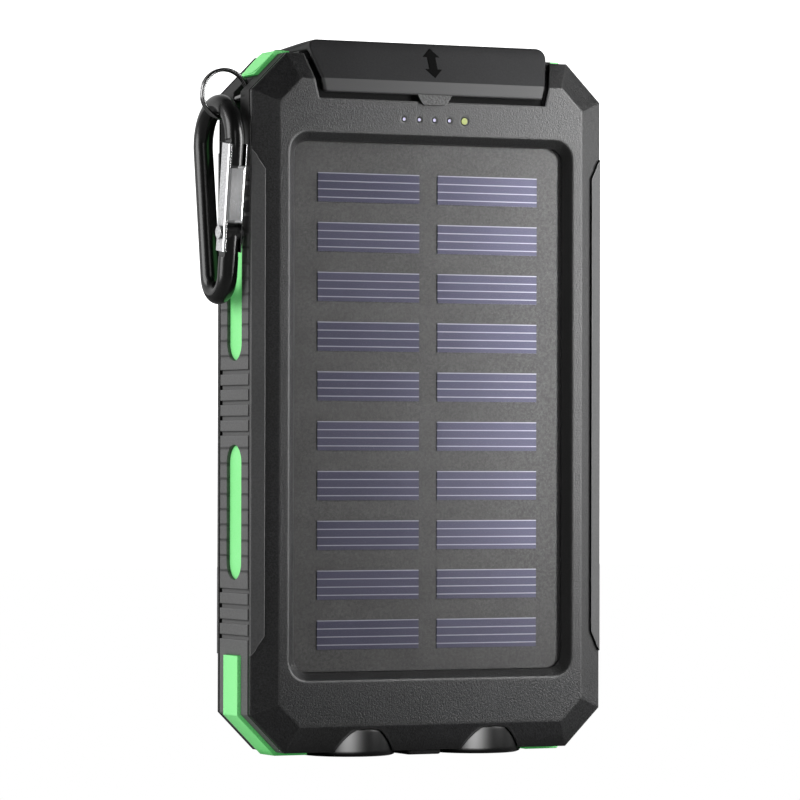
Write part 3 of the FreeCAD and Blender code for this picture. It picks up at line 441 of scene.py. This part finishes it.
def cell_finish():
    """Blue-violet silicon with silver fingers.

    Depth in a row is the height below the top cell edge, less whole row pitches. A finger shows where that
    depth, less whole finger pitches, is under the finger's width. Each cell has its own slight tone.
    """
    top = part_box("solar_cells")[1].z
    made = bpy.data.materials.new("cell silicon")
    made.use_nodes = True
    tree = made.node_tree
    shader = tree.nodes["Principled BSDF"]
    at = put(tree, "TexCoord").outputs["Object"]
    part = put(tree, "SeparateXYZ", (("Vector", at),)).outputs
    down = maths(tree, "SUBTRACT", top, part["Z"])
    row = maths(tree, "FLOOR", maths(tree, "DIVIDE", maths(tree, "ADD", down, 0.0001), row_pitch))
    depth = maths(tree, "SUBTRACT", down, product(tree, row, row_pitch))
    side = maths(tree, "SIGN", part["X"])
    cell = put(tree, "CombineXYZ", (("X", side), ("Y", row))).outputs[0]
    tone = put(tree, "TexWhiteNoise", (("Vector", cell),), noise_dimensions="3D").outputs["Value"]
    cloud = put(tree, "TexNoise", (("Vector", at), ("Scale", 90.0), ("Detail", 1.0))).outputs[0]
    share = maths(tree, "ADD", product(tree, tone, 0.45), product(tree, cloud, 0.3), clamp=True)
    silicon = blended(tree, share, (0.052, 0.051, 0.088, 1), (0.075, 0.073, 0.119, 1))
    within = maths(tree, "FLOORED_MODULO", maths(tree, "ADD", depth, 0.00001), finger_pitch)
    finger = maths(tree, "LESS_THAN", within, finger_wide)
    connect(tree, blended(tree, finger, silicon, (0.31, 0.31, 0.36, 1)), shader.inputs["Base Color"])
    connect(tree, spread(tree, cloud, 0.3, 0.7, 0.285, 0.295), shader.inputs["Roughness"])
    connect(tree, spread(tree, finger, 0.0, 1.0, 0.62, 0.50), shader.inputs["Metallic"])
    return made


wear(cell_finish(), "solar_cells")
panel_board = skin("panel board", (0.020, 0.019, 0.018), (0.027, 0.026, 0.025), rough=(0.36, 0.42),
                   size=2200.0, depth=0.00002, rub_and_highlight=0.0, patch=150.0, crease=0.0, speckle=0.6)
wear(panel_board, "solar_board")
wear(skin("foam tape", (0.02, 0.02, 0.02), (0.035, 0.035, 0.035), rough=(0.8, 0.95), size=1500.0, rub_and_highlight=0.0),
     "panel_tape", "battery_foam")
panel_clear = skin("panel clear", (0.08, 0.08, 0.082), (0.12, 0.12, 0.122), rough=(0.27, 0.33), size=2600.0,
                   depth=0.00002, rub_and_highlight=0.0, radius=0.00015, crease=0.0, alpha=0.03)
cover_mesh = softened("panel_cover", 0.0001, panel_clear, "panel_clear").data
back_y, cells_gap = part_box("panel_cover")[1].y, 0.00003
corners = np.empty(len(cover_mesh.vertices) * 3)
cover_mesh.vertices.foreach_get("co", corners)
corners = corners.reshape(-1, 3)
corners[:, 1] -= np.where(corners[:, 1] > back_y - 0.00001, cells_gap, 0.0)
cover_mesh.vertices.foreach_set("co", corners.reshape(-1))
cover_mesh.update()

# ---- Indicator lights ------------------------------------------------------------------------------
# Clear rods carry the light from small lamps on the board to the face: four cool ones for charge level and a
# larger yellow-green one for sunshine.


def lit(name, colour, glow, strength):
    """A clear or pale finish with a faint glow."""
    light = tuple(min(1.0, c * 1.1) for c in colour)
    return skin(name, colour, light, rough=(0.2, 0.3), depth=0.000002, rub_and_highlight=0.0, emission_color=(*glow, 1),
                emission_strength=strength, coat_weight=0.6)


def ringed(finish, node, pitch, core):
    """Darken a row of rods outside a core radius, by distance from the nearest rod's centre."""
    low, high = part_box(node)
    tree = finish.node_tree
    at = spot(tree)
    first = low.x + (high.z - low.z) / 2
    from_first = maths(tree, "ABSOLUTE", maths(tree, "SUBTRACT", at["X"], first))
    across = maths(tree, "PINGPONG", from_first, pitch / 2)
    up = maths(tree, "SUBTRACT", at["Z"], (low.z + high.z) / 2)
    out = maths(tree, "SQRT", maths(tree, "ADD", product(tree, across, across), product(tree, up, up)))
    rim = spread(tree, out, core, core * 1.15)
    turned_towards(tree, rim, (0.006, 0.006, 0.006))
    turned_towards(tree, rim, (0, 0, 0), "Emission Color")
    wear(finish, node)


light_pitch, level_core, solar_core = 0.0034, 0.00030, 0.00062
level_light = lit("level light", (0.50, 0.48, 0.66), (0.66, 0.62, 1.0), 0.16)
solar_light = lit("solar light", (0.34, 0.38, 0.14), (0.60, 0.75, 0.15), 0.14)
ringed(level_light, "level_light_pipes", light_pitch, level_core)
ringed(solar_light, "solar_light_pipe", light_pitch, solar_core)
wear(lit("lamp white", (0.85, 0.85, 0.80), (1.0, 1.0, 0.9), 0.1), "indicator_leds")

# ---- Port flap -------------------------------------------------------------------------------------
# A rubber lid over the ports, moulded in one with its tab and hinge bead. Its lip is painted paler as painted
# light, for the light its front face catches. A black double-headed arrow is printed on its upper slope.
flap_rubber = skin("flap rubber", (0.017, 0.017, 0.018), (0.022, 0.022, 0.023), rough=(0.52, 0.58),
                   size=2800.0, depth=0.00001, radius=0.0001, rub_and_highlight=0.3, highlight_tone=(0.12, 0.12, 0.12),
                   specular_ior_level=0.32)
lip_from, lip_to, lip_fade, lip_share = 0.1300, 0.13592, 0.00008, 0.9
lip_shadow_from, lip_shadow_to, lip_shadow_fade, band_half = 0.13215, 0.1336, 0.0002, 0.0251


def banded(finish, low, high, ease, colour, share, rough=None):
    """Turn a finish towards a colour, by share, between two heights and within band_half of the middle.

    The band fades over ease above and below it. Where rough is given, the roughness goes there as well.
    """
    tree = finish.node_tree
    at = spot(tree)
    near = maths(tree, "LESS_THAN", maths(tree, "ABSOLUTE", at["X"]), band_half)
    inside = product(tree, spread(tree, at["Z"], low - ease, low),
                     spread(tree, at["Z"], high, high + ease, 1.0, 0.0), near, share)
    turned_towards(tree, inside, colour)
    if rough:
        roughness = tree.nodes["Principled BSDF"].inputs["Roughness"]
        before = roughness.links[0].from_socket
        more = product(tree, maths(tree, "SUBTRACT", rough, before), inside)
        connect(tree, maths(tree, "ADD", before, more), roughness)


# Painted light: the flap's lip is painted paler for the light its front face catches.
banded(flap_rubber, lip_from, lip_to, lip_fade, (0.075, 0.075, 0.076), lip_share)
# Painted shadow: the case is painted nearly black, and made rough, in a band under the flap's lip.
banded(case_black, lip_shadow_from, lip_shadow_to, lip_shadow_fade, (0.001, 0.001, 0.001), 1.0, rough=0.95)
wear(flap_rubber, "flap_anchor")
wear(skin("deck black", (0.018, 0.018, 0.018), (0.026, 0.026, 0.026), rough=(0.45, 0.55)), "port_deck")


def walled(rings, count):
    """Faces between rings of count points each, with one flat face over the first ring and over the last."""
    row, column = np.meshgrid(np.arange(rings - 1), np.arange(count), indexing="ij")
    here, beside = row * count + column, row * count + (column + 1) % count
    quads = np.stack([here, beside, beside + count, here + count], -1).reshape(-1, 4).tolist()
    return quads + [list(range(count))[::-1], list(range((rings - 1) * count, rings * count))]


def plate(outline, base, across, up, out, thickness):
    """Closed plate: each outline point (a, b) lies at base plus a along across plus b along up.

    The back copy lies on the surface and the front copy is moved along out by thickness.
    """
    outline = np.asarray(outline, float)
    back = np.array(base) + outline[:, :1] * np.array(across) + outline[:, 1:] * np.array(up)
    points = np.vstack([back, back + np.array(out) * thickness])
    return points, walled(2, len(outline))


def swept_tube(path, radius, sides, frame_up):
    """Closed tube about a path: each ring of points is path plus radius times (cos, sin) in two directions.

    The directions are across the path's tangent and frame_up. Both ends close in three shrinking rings.
    """
    path = np.asarray(path, float)
    tangent = np.gradient(path, axis=0)
    tangent /= np.linalg.norm(tangent, axis=1)[:, None]
    second = np.cross(tangent, np.broadcast_to(frame_up, path.shape))
    second /= np.linalg.norm(second, axis=1)[:, None]
    third = np.cross(second, tangent)
    shrink = np.array((0.35, 0.75, 0.95))
    reach = np.sqrt(1 - shrink ** 2) * radius
    head = path[0] - tangent[0] * reach[:, None]
    tail = path[-1] + tangent[-1] * reach[::-1, None]
    centres = np.vstack([head, path, tail])
    radii = radius * np.concatenate([shrink, np.ones(len(path)), shrink[::-1]])
    extra = len(shrink)
    seconds = np.vstack([np.repeat(second[:1], extra, 0), second, np.repeat(second[-1:], extra, 0)])
    thirds = np.vstack([np.repeat(third[:1], extra, 0), third, np.repeat(third[-1:], extra, 0)])
    turn = np.linspace(0, 2 * math.pi, sides, endpoint=False)[None, :, None]
    ring = np.cos(turn) * seconds[:, None] + np.sin(turn) * thirds[:, None]
    points = centres[:, None] + radii[:, None, None] * ring
    return points.reshape(-1, 3), walled(len(centres), sides)


flap_low, flap_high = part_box("port_flap")
front_y, top_z, under_z = flap_low.y, flap_high.z, 0.1416
lip_z, crease_z, corner_round = 0.1333, 0.1359, 0.0024
lip_half, crease_half, top_half = 0.0244, 0.0250, 0.0273
facet_run, facet_rise = 0.0053, 0.0024
wall, back_y, heel_y, back_drop, end_round = 0.0017, 0.0077, 0.0073, 0.0012, 0.0005


def flap_half(z):
    """Half width at a height: straight from lip to crease and on to the top, less a rounded top corner."""
    lower = lip_half + (z - lip_z) / (crease_z - lip_z) * (crease_half - lip_half)
    upper = crease_half + (z - crease_z) / (top_z - crease_z) * (top_half - crease_half)
    over = np.clip((z - (top_z - corner_round)) / corner_round, 0, 1)
    return np.where(z < crease_z, lower, upper) - corner_round * (1 - np.sqrt(1 - over ** 2))


def rounded_outline(corners, radius, steps=8):
    """Closed outline whose corners are quadratic curves that start and end radius away from each corner.

    No curve takes more than 0.4 of the shorter side beside it.
    """
    corners = np.asarray(corners, float)
    before, after = np.roll(corners, 1, 0) - corners, np.roll(corners, -1, 0) - corners
    far_before, far_after = np.linalg.norm(before, axis=1), np.linalg.norm(after, axis=1)
    reach = np.minimum(radius, 0.4 * np.minimum(far_before, far_after))[:, None]
    enter = corners + before / far_before[:, None] * reach
    leave = corners + after / far_after[:, None] * reach
    t = np.linspace(0, 1, steps)[None, :, None]
    return ((1 - t) ** 2 * enter[:, None] + 2 * t * (1 - t) * corners[:, None]
            + t ** 2 * leave[:, None]).reshape(-1, 2)


def flap_skin(spaced=221, end_rings=5):
    """The flap's closed (y, z) section carried across X, with its two ends rounded over by end_round.

    Each ring is the section moved inwards by end_round times (1 - cos a) and outwards along X to the half
    width less end_round times (1 - sin a), with a from 0 to a right angle. Flat faces close the ends.
    """
    lean = facet_rise / facet_run
    top_y = front_y + lean * (top_z - crease_z)
    inner_y = front_y + wall + lean * (under_z - crease_z)
    corners = [(front_y, lip_z), (front_y, crease_z), (top_y, top_z), (back_y, top_z - back_drop),
               (heel_y, under_z), (inner_y, under_z), (front_y + wall, crease_z), (front_y + wall, lip_z)]
    outline = rounded_outline(corners, np.array((0.45, 0.16, 0.45, 0.45, 0.45, 0.45, 0.45, 0.45)) / 1000)
    closed = np.vstack([outline, outline[:1]])
    run_on = np.concatenate([[0], np.cumsum(np.linalg.norm(np.diff(closed, axis=0), axis=1))])
    at = np.union1d(np.linspace(0, run_on[-1], spaced), run_on)[:-1]
    at = at[np.concatenate([[True], np.diff(at) > 1e-6])]
    line = np.stack([np.interp(at, run_on, closed[:, 0]), np.interp(at, run_on, closed[:, 1])], 1)
    tangent = np.roll(line, -1, 0) - np.roll(line, 1, 0)
    tangent /= np.linalg.norm(tangent, axis=1)[:, None]
    inwards = np.stack([tangent[:, 1], -tangent[:, 0]], 1)
    angle = np.linspace(0, math.pi / 2, end_rings)
    angle = np.concatenate([angle[::-1], angle])[:, None]
    side = np.repeat((-1.0, 1.0), end_rings)[:, None]
    moved = line[None] + inwards[None] * (end_round * (1 - np.cos(angle)))[..., None]
    across = side * (flap_half(line[:, 1])[None] - end_round * (1 - np.sin(angle)))
    points = np.stack([across, moved[..., 0], moved[..., 1]], -1).reshape(-1, 3)
    return points, walled(2 * end_rings, len(line))


points, faces = flap_skin()
flap_piece = solid_from("flap_lid", points, faces, flap_rubber, "flap")
facing_out(flap_piece, crisp=40)
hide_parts("port_flap")

bead_half, bead_y, bead_z, bead_radius, bead_points = 0.0266, 0.0080, 0.1420, 0.00094, 40
bead = np.stack([np.linspace(-bead_half, bead_half, bead_points), np.full(bead_points, bead_y),
                 np.full(bead_points, bead_z)], 1)
points, faces = swept_tube(bead, bead_radius, 20, (0, 0, 1))
facing_out(solid_from("flap_hinge_bead", points, faces, flap_rubber, "flap"))

tab_rubber = skin("tab rubber", (0.050, 0.050, 0.050), (0.070, 0.070, 0.070), rough=(0.5, 0.6), size=2400.0,
                  depth=0.00010, radius=0.0002, rub_and_highlight=0.3, speckle=0.5)
tab_root, tab_tip, tab_up, tab_down, tab_round = 0.00405, 0.0026, 0.0003, 0.0020, 0.0007
tab_y, tab_thick = -0.0104, 0.0005
tab = rounded_outline([(-tab_root, tab_up), (tab_root, tab_up), (tab_tip, -tab_down), (-tab_tip, -tab_down)],
                      tab_round)
points, faces = plate(tab, (0, tab_y, lip_z), (1, 0, 0), (0, 0, 1), (0, -1, 0), tab_thick)
tab_piece = solid_from("flap_tab", points, faces, tab_rubber, "flap")
facing_out(tab_piece, crisp=40)

arrow_ink = skin("arrow ink", (0.002, 0.002, 0.002), (0.004, 0.004, 0.004), rough=(0.8, 0.9), rub_and_highlight=0.0,
                 specular_ior_level=0.1)
arrow_x, arrow_up, arrow_high, arrow_sunk, arrow_thick = 0.0002, 0.0044, 0.0068, 0.00002, 0.00006
head_half, head_high, shaft_half = 0.00190, 0.0020, 0.00095
facet = np.array((0.0, facet_rise, facet_run)) / math.hypot(facet_run, facet_rise)
facet_out = np.array((0.0, -facet_run, facet_rise)) / math.hypot(facet_run, facet_rise)
middle = np.array((arrow_x, front_y, crease_z)) + facet * arrow_up - facet_out * arrow_sunk
tip, neck = arrow_high / 2, arrow_high / 2 - head_high
arrow = [(0, tip), (-head_half, neck), (-shaft_half, neck), (-shaft_half, -neck), (-head_half, -neck),
         (0, -tip), (head_half, -neck), (shaft_half, -neck), (shaft_half, neck), (head_half, neck)]
points, faces = plate(arrow, middle, (1, 0, 0), facet, facet_out, arrow_thick)
solid_from("flap_arrow", points, faces, arrow_ink, "flap")

# ---- Ports -----------------------------------------------------------------------------------------
# Two full-size sockets and one small one, in nickel-plated steel shells, with moulded tongues that carry gold
# contact springs.
port_steel = skin("port steel", (0.50, 0.49, 0.47), (0.60, 0.59, 0.57), rough=(0.22, 0.34), size=2000.0,
                  depth=0.000004, radius=0.00008, rub_and_highlight=0.3, highlight_tone=(0.8, 0.8, 0.8), metallic=1.0)
wear(port_steel, "left_usb_port", "right_usb_port", "micro_usb_port")
tongue_white = skin("tongue white", (0.66, 0.66, 0.62), (0.74, 0.74, 0.70), rough=(0.4, 0.5), radius=0.0001)
wear(tongue_white, "left_usb_tongue", "right_usb_tongue", "micro_usb_tongue")
contact_gold = skin("contact gold", (0.75, 0.50, 0.16), (0.85, 0.60, 0.22), rough=(0.2, 0.3), metallic=1.0,
                    radius=0.00005, depth=0.000002)
blade_in, blade_thick, spring_up, spring_thick = 0.00063, 0.00184, 0.0020, 0.00008
spring_half, nose_half, spring_straight, spring_high = 0.0005, 0.0003, 0.0072, 0.0077
spring = [(-spring_half, 0.0), (spring_half, 0.0), (spring_half, spring_straight), (nose_half, spring_high),
          (-nose_half, spring_high), (-spring_half, spring_straight)]
for side in ("left", "right"):
    low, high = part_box(side + "_usb_tongue")
    middle = (low.x + high.x) / 2
    tongue_front = high.y - blade_in - blade_thick
    for number, shift in enumerate((-0.0035, -0.001, 0.001, 0.0035)):
        base = (middle + shift, tongue_front, low.z + spring_up)
        points, faces = plate(spring, base, (1, 0, 0), (0, 0, 1), (0, -1, 0), spring_thick)
        solid_from("%s_usb_contact_%d" % (side, number), points, faces, contact_gold, "case")

# ---- Electronics -----------------------------------------------------------------------------------
# Glass-fibre boards with black packages, a ferrite choke, a foil-wrapped cell and nickel tabs. They sit out
# of sight inside the shells.
wear(skin("board green", (0.01, 0.10, 0.04), (0.02, 0.15, 0.06), rough=(0.3, 0.4), size=1500.0,
          coat_weight=0.4), "main_board", "torch_board")
wear(skin("package black", (0.015, 0.015, 0.016), (0.03, 0.03, 0.03), rough=(0.45, 0.6)), "board_chips",
     "button_switch")
wear(skin("choke grey", (0.10, 0.10, 0.10), (0.16, 0.16, 0.16), rough=(0.5, 0.65)), "inductor")
wear(skin("cell foil", (0.45, 0.46, 0.48), (0.55, 0.56, 0.58), rough=(0.3, 0.42), metallic=0.8, patch=90.0),
     "battery_cell")
wear(skin("tab nickel", (0.55, 0.54, 0.50), (0.65, 0.64, 0.60), rough=(0.25, 0.35), metallic=1.0),
     "battery_tabs", "solar_leads")
wear(skin("flex amber", (0.50, 0.20, 0.03), (0.62, 0.28, 0.05), rough=(0.3, 0.4), coat_weight=0.3),
     "torch_flex")
screw_black = skin("screw black", (0.030, 0.030, 0.032), (0.06, 0.06, 0.064), rough=(0.3, 0.42),
                   metallic=0.8, radius=0.00012, rub_and_highlight=0.6, highlight_tone=(0.4, 0.4, 0.4))
wear(screw_black, "case_screws", "board_screws")

# ---- Torches ---------------------------------------------------------------------------------------
# Two gloss black barrels, turned with soft shoulders, stand in bores at the bottom corners. Each has a clear
# lens, a plated cup and a yellow-white emitter. Their front left carries a painted highlight, a paler streak.
torch_black = skin("torch black", (0.003, 0.003, 0.003), (0.006, 0.006, 0.006), rough=(0.30, 0.36),
                   size=1500.0, depth=0.000001, radius=0.0006, rub_and_highlight=0.0, specular_ior_level=0.2, crease=0.5)


def paint_front_highlight(finish, toward, highlight_tone, sharp):
    """Paint a highlight on a finish where it faces a direction: the share is their dot product to the power
    sharp.
    """
    tree = finish.node_tree
    normal = put(tree, "TexCoord").outputs["Normal"]
    facing = put(tree, "VectorMath", ((0, normal), (1, toward)), operation="DOT_PRODUCT").outputs["Value"]
    turned_towards(tree, maths(tree, "POWER", maths(tree, "MAXIMUM", facing, 0.0), sharp), highlight_tone)


# Painted highlight: a paler streak on the barrels' front left.
paint_front_highlight(torch_black, (-0.455, -0.88, 0.12), (0.95, 0.95, 0.95), 34.0)
head_gap, lens_gap, cup_gap = 0.00018, 0.00005, 0.0001
body_radius, head_top, edge = 0.0080, 0.00542, 0.0009


def lathe(outline, centre_x, sides=160):
    """Closed ring: each outline point (r, z) becomes (centre_x + r cos a, r sin a, z), a for a full turn."""
    turn = np.linspace(0, 2 * math.pi, sides, endpoint=False)[:, None]
    count = len(outline)
    points = np.stack([centre_x + np.cos(turn) * outline[:, 0], np.sin(turn) * outline[:, 0],
                       np.broadcast_to(outline[:, 1], (sides, count))], -1).reshape(-1, 3)
    row, column = np.meshgrid(np.arange(sides), np.arange(count), indexing="ij")
    ahead, beside = (row + 1) % sides, (column + 1) % count
    return points, np.stack([row * count + column, row * count + beside, ahead * count + beside,
                             ahead * count + column], -1).reshape(-1, 4).tolist()


for side in ("left", "right"):
    barrel_low, barrel_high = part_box(side + "_torch_barrel")
    lens_low, lens_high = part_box(side + "_torch_lens")
    cup_low, cup_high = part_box(side + "_torch_reflector")
    rim = (lens_high.x - lens_low.x) / 2 + lens_gap
    bore = (cup_high.x - cup_low.x) / 2 + cup_gap
    head = (barrel_high.x - barrel_low.x) / 2 - head_gap
    seat, end = lens_high.z, barrel_high.z
    corners = [(rim, 0), (head - edge, 0), (head - 0.27 * edge, 0.27 * edge), (head, edge), (head, head_top),
               (body_radius, head_top + head - body_radius), (body_radius, end), (bore, end), (bore, seat),
               (rim, seat)]
    radii = np.array((0.05, 0.6, 0.6, 0.6, 0.3, 0.5, 0.1, 0.05, 0.02, 0.02)) / 1000
    points, faces = lathe(rounded_outline(corners, radii, steps=6), (barrel_low.x + barrel_high.x) / 2)
    barrel = solid_from(side + "_torch_tube", points, faces, torch_black, "case")
    facing_out(barrel, crisp=40)
    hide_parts(side + "_torch_barrel")
wear(skin("torch clear", (0.95, 0.95, 0.95), (0.99, 0.99, 0.99), rough=(0.02, 0.05), depth=0.000001, rub_and_highlight=0.0,
          transmission_weight=1.0, ior=1.49), "left_torch_lens", "right_torch_lens")
wear(skin("reflector plate", (0.80, 0.80, 0.80), (0.90, 0.90, 0.90), rough=(0.04, 0.10), metallic=1.0,
          depth=0.000002, rub_and_highlight=0.0), "left_torch_reflector", "right_torch_reflector")
wear(lit("emitter", (0.90, 0.72, 0.18), (1.0, 0.8, 0.2), 0.15), "left_torch_emitter", "right_torch_emitter")

# ---- Power button ----------------------------------------------------------------------------------
# A rubber-skinned cap on the right side, flush between two grip groups. It is pushed in against a switch on
# the board.
button_rubber = skin("button rubber", (0.030, 0.030, 0.031), (0.042, 0.042, 0.043), rough=(0.45, 0.55))
softened("power_button", 0.0004, button_rubber, "flap_rubber", steps=3)

# ---- Lanyard pin and split ring --------------------------------------------------------------------
# A steel pin crosses a slot in the corner. Two turns of bright spring wire, squeezed together, hang on it
# and can be prised apart.
bright_steel = skin("bright steel", (0.24, 0.24, 0.24), (0.32, 0.32, 0.32), rough=(0.16, 0.24), size=2500.0,
                    depth=0.000002, radius=0.0001, rub_and_highlight=0.3, highlight_tone=(0.9, 0.9, 0.9), metallic=1.0)
wear(bright_steel, "lanyard_pin")
ring_low, ring_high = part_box("split_ring")
ring_centre = (ring_low + ring_high) / 2
wire, squeeze = 0.000375, 0.99
ring_mid = (ring_high.z - ring_low.z) / 2 - wire
end_gap, step_turn, start = 0.16, 0.11, math.radians(-35)
# The wire runs two turns less end_gap. After one turn it steps over from the front to the back along a
# smooth S-curve. Its width is step_turn, an angle like end_gap.
turns = np.linspace(0, 4 * math.pi - end_gap, 260)
step = 1 / (1 + np.exp(-(turns - 2 * math.pi) / step_turn))
helix = np.stack([ring_centre.x + ring_mid * np.cos(turns + start), ring_centre.y + wire * (2 * step - 1),
                  ring_centre.z + ring_mid * np.sin(turns + start)], 1)
points, faces = swept_tube(helix, wire * squeeze, 16, (0, 1, 0))
ring_piece = solid_from("split_ring_wire", points, faces, bright_steel, "ring")
facing_out(ring_piece)
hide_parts("split_ring")

# ---- Carabiner -------------------------------------------------------------------------------------
# An anodised aluminium rod bent into a pear, with a folded steel gate that turns on a rivet. A small spring
# keeps the gate shut.
anodised = skin("anodised black", (0.004, 0.004, 0.004), (0.007, 0.007, 0.007), rough=(0.20, 0.26),
                size=2600.0, depth=0.000003, radius=0.0002, rub_and_highlight=0.3, highlight_tone=(0.20, 0.20, 0.20))
wear(anodised, "carabiner_body")
gate_steel = skin("gate steel", (0.76, 0.76, 0.77), (0.86, 0.86, 0.87), rough=(0.20, 0.28), size=2200.0,
                  depth=0.000006, radius=0.00012, rub_and_highlight=0.4, highlight_tone=(0.85, 0.85, 0.85), metallic=1.0)
wear(gate_steel, "carabiner_gate", "gate_rivet", "gate_spring")

# ---- Floor, light and camera -----------------------------------------------------------------------
# A white sweep under the charger, four soft panels, and a world whose walls are white to the left and behind.
# The strongest panel for its size stands close at the right front.
half = 1.5
floor_finish = bpy.data.materials.new("white sweep")
floor_finish.use_nodes = True
tree = floor_finish.node_tree
shader = tree.nodes["Principled BSDF"]
on_floor = put(tree, "TexCoord").outputs["Object"]
paper = put(tree, "TexNoise", (("Vector", on_floor), ("Scale", 4.0))).outputs[0]
connect(tree, blended(tree, paper, (0.28, 0.28, 0.28, 1), (0.31, 0.31, 0.31, 1)), shader.inputs["Base Color"])
shader.inputs["Roughness"].default_value = 0.9
shown = put(tree, "Emission", (("Color", (1, 1, 1, 1)), ("Strength", 1.0)))
seen = put(tree, "LightPath").outputs["Is Camera Ray"]
both = put(tree, "MixShader", ((0, seen), (1, shader.outputs[0]), (2, shown.outputs[0])))
tree.links.new(both.outputs[0], tree.nodes["Material Output"].inputs["Surface"])
floor_mesh = bpy.data.meshes.new("floor")
floor_corners = [(-half, -half, 0), (half, -half, 0), (half, half, 0), (-half, half, 0)]
floor_mesh.from_pydata(floor_corners, [], [(0, 1, 2, 3)])
floor_mesh.materials.append(floor_finish)
floor = bpy.data.objects.new("floor", floor_mesh)
bpy.context.scene.collection.objects.link(floor)

world = bpy.data.worlds.new("white studio")
bpy.context.scene.world = world
world.use_nodes = True
tree = world.node_tree
sky = tree.nodes["Background"]
toward = put(tree, "SeparateXYZ", (("Vector", put(tree, "TexCoord").outputs["Generated"]),)).outputs
back_wall = spread(tree, toward["Y"], -0.1, 0.6, 0.035, 0.75)
left_wall = product(tree, spread(tree, toward["X"], -0.9, -0.2, 0.9, 0.0),
                    spread(tree, toward["Y"], -0.5, 0.1, 0.06, 1.0))
overhead = spread(tree, toward["Z"], 0.45, 0.85, 1.0, 0.25)
walls = product(tree, maths(tree, "MAXIMUM", back_wall, left_wall), overhead)
seen = put(tree, "LightPath").outputs["Is Camera Ray"]
connect(tree, maths(tree, "ADD", walls, seen), sky.inputs["Strength"])
sky.inputs["Color"].default_value = (1, 1, 1, 1)


def soft_panel(name, at, aim, wide, high, power):
    """Rectangular light at a place, turned to shine at a point."""
    lamp = bpy.data.lights.new(name, "AREA")
    lamp.shape, lamp.size, lamp.size_y, lamp.energy = "RECTANGLE", wide, high, power
    lamp_object = bpy.data.objects.new(name, lamp)
    bpy.context.scene.collection.objects.link(lamp_object)
    lamp_object.location = at
    lamp_object.rotation_euler = (Vector(aim) - Vector(at)).to_track_quat("-Z", "Y").to_euler()


soft_panel("right front panel", (0.162, -0.175, 0.143), (0.0, 0.0, 0.105), 0.08, 0.24, 0.84)
soft_panel("left front panel", (-0.22, -0.46, 0.20), (0.0, 0.0, 0.03), 0.05, 0.30, 0.14)
soft_panel("right side panel", (0.46, -0.13, 0.12), (0.0, 0.0, 0.08), 0.18, 0.24, 0.45)
soft_panel("left panel", (-0.75, 0.15, 0.25), (0.0, 0.0, 0.07), 0.5, 0.6, 4.0)

bpy.context.scene.view_settings.view_transform = "Standard"

turned, tilt, rolled = math.radians(-25.754), math.radians(-0.686), math.radians(0.129)
aim, away, lens = Vector((0, 0, 0.071)), 0.96915, 213.78
shift_right, shift_up = -0.002169, 0.000833
back = Vector((math.sin(turned) * math.cos(tilt), -math.cos(turned) * math.cos(tilt), math.sin(tilt)))
level = Vector((math.cos(turned), math.sin(turned), 0))
rise = back.cross(level)
camera_right = level * math.cos(rolled) + rise * math.sin(rolled)
camera_up = rise * math.cos(rolled) - level * math.sin(rolled)
camera_data = bpy.data.cameras.new("camera")
camera_data.lens, camera_data.sensor_width, camera_data.clip_end = lens, 36.0, 20.0
camera = bpy.data.objects.new("camera", camera_data)
bpy.context.scene.collection.objects.link(camera)
place = aim + camera_right * shift_right + camera_up * shift_up + back * away
turn = Matrix((camera_right, camera_up, back)).transposed().to_4x4()
camera.matrix_world = Matrix.Translation(place) @ turn
bpy.context.scene.camera = camera
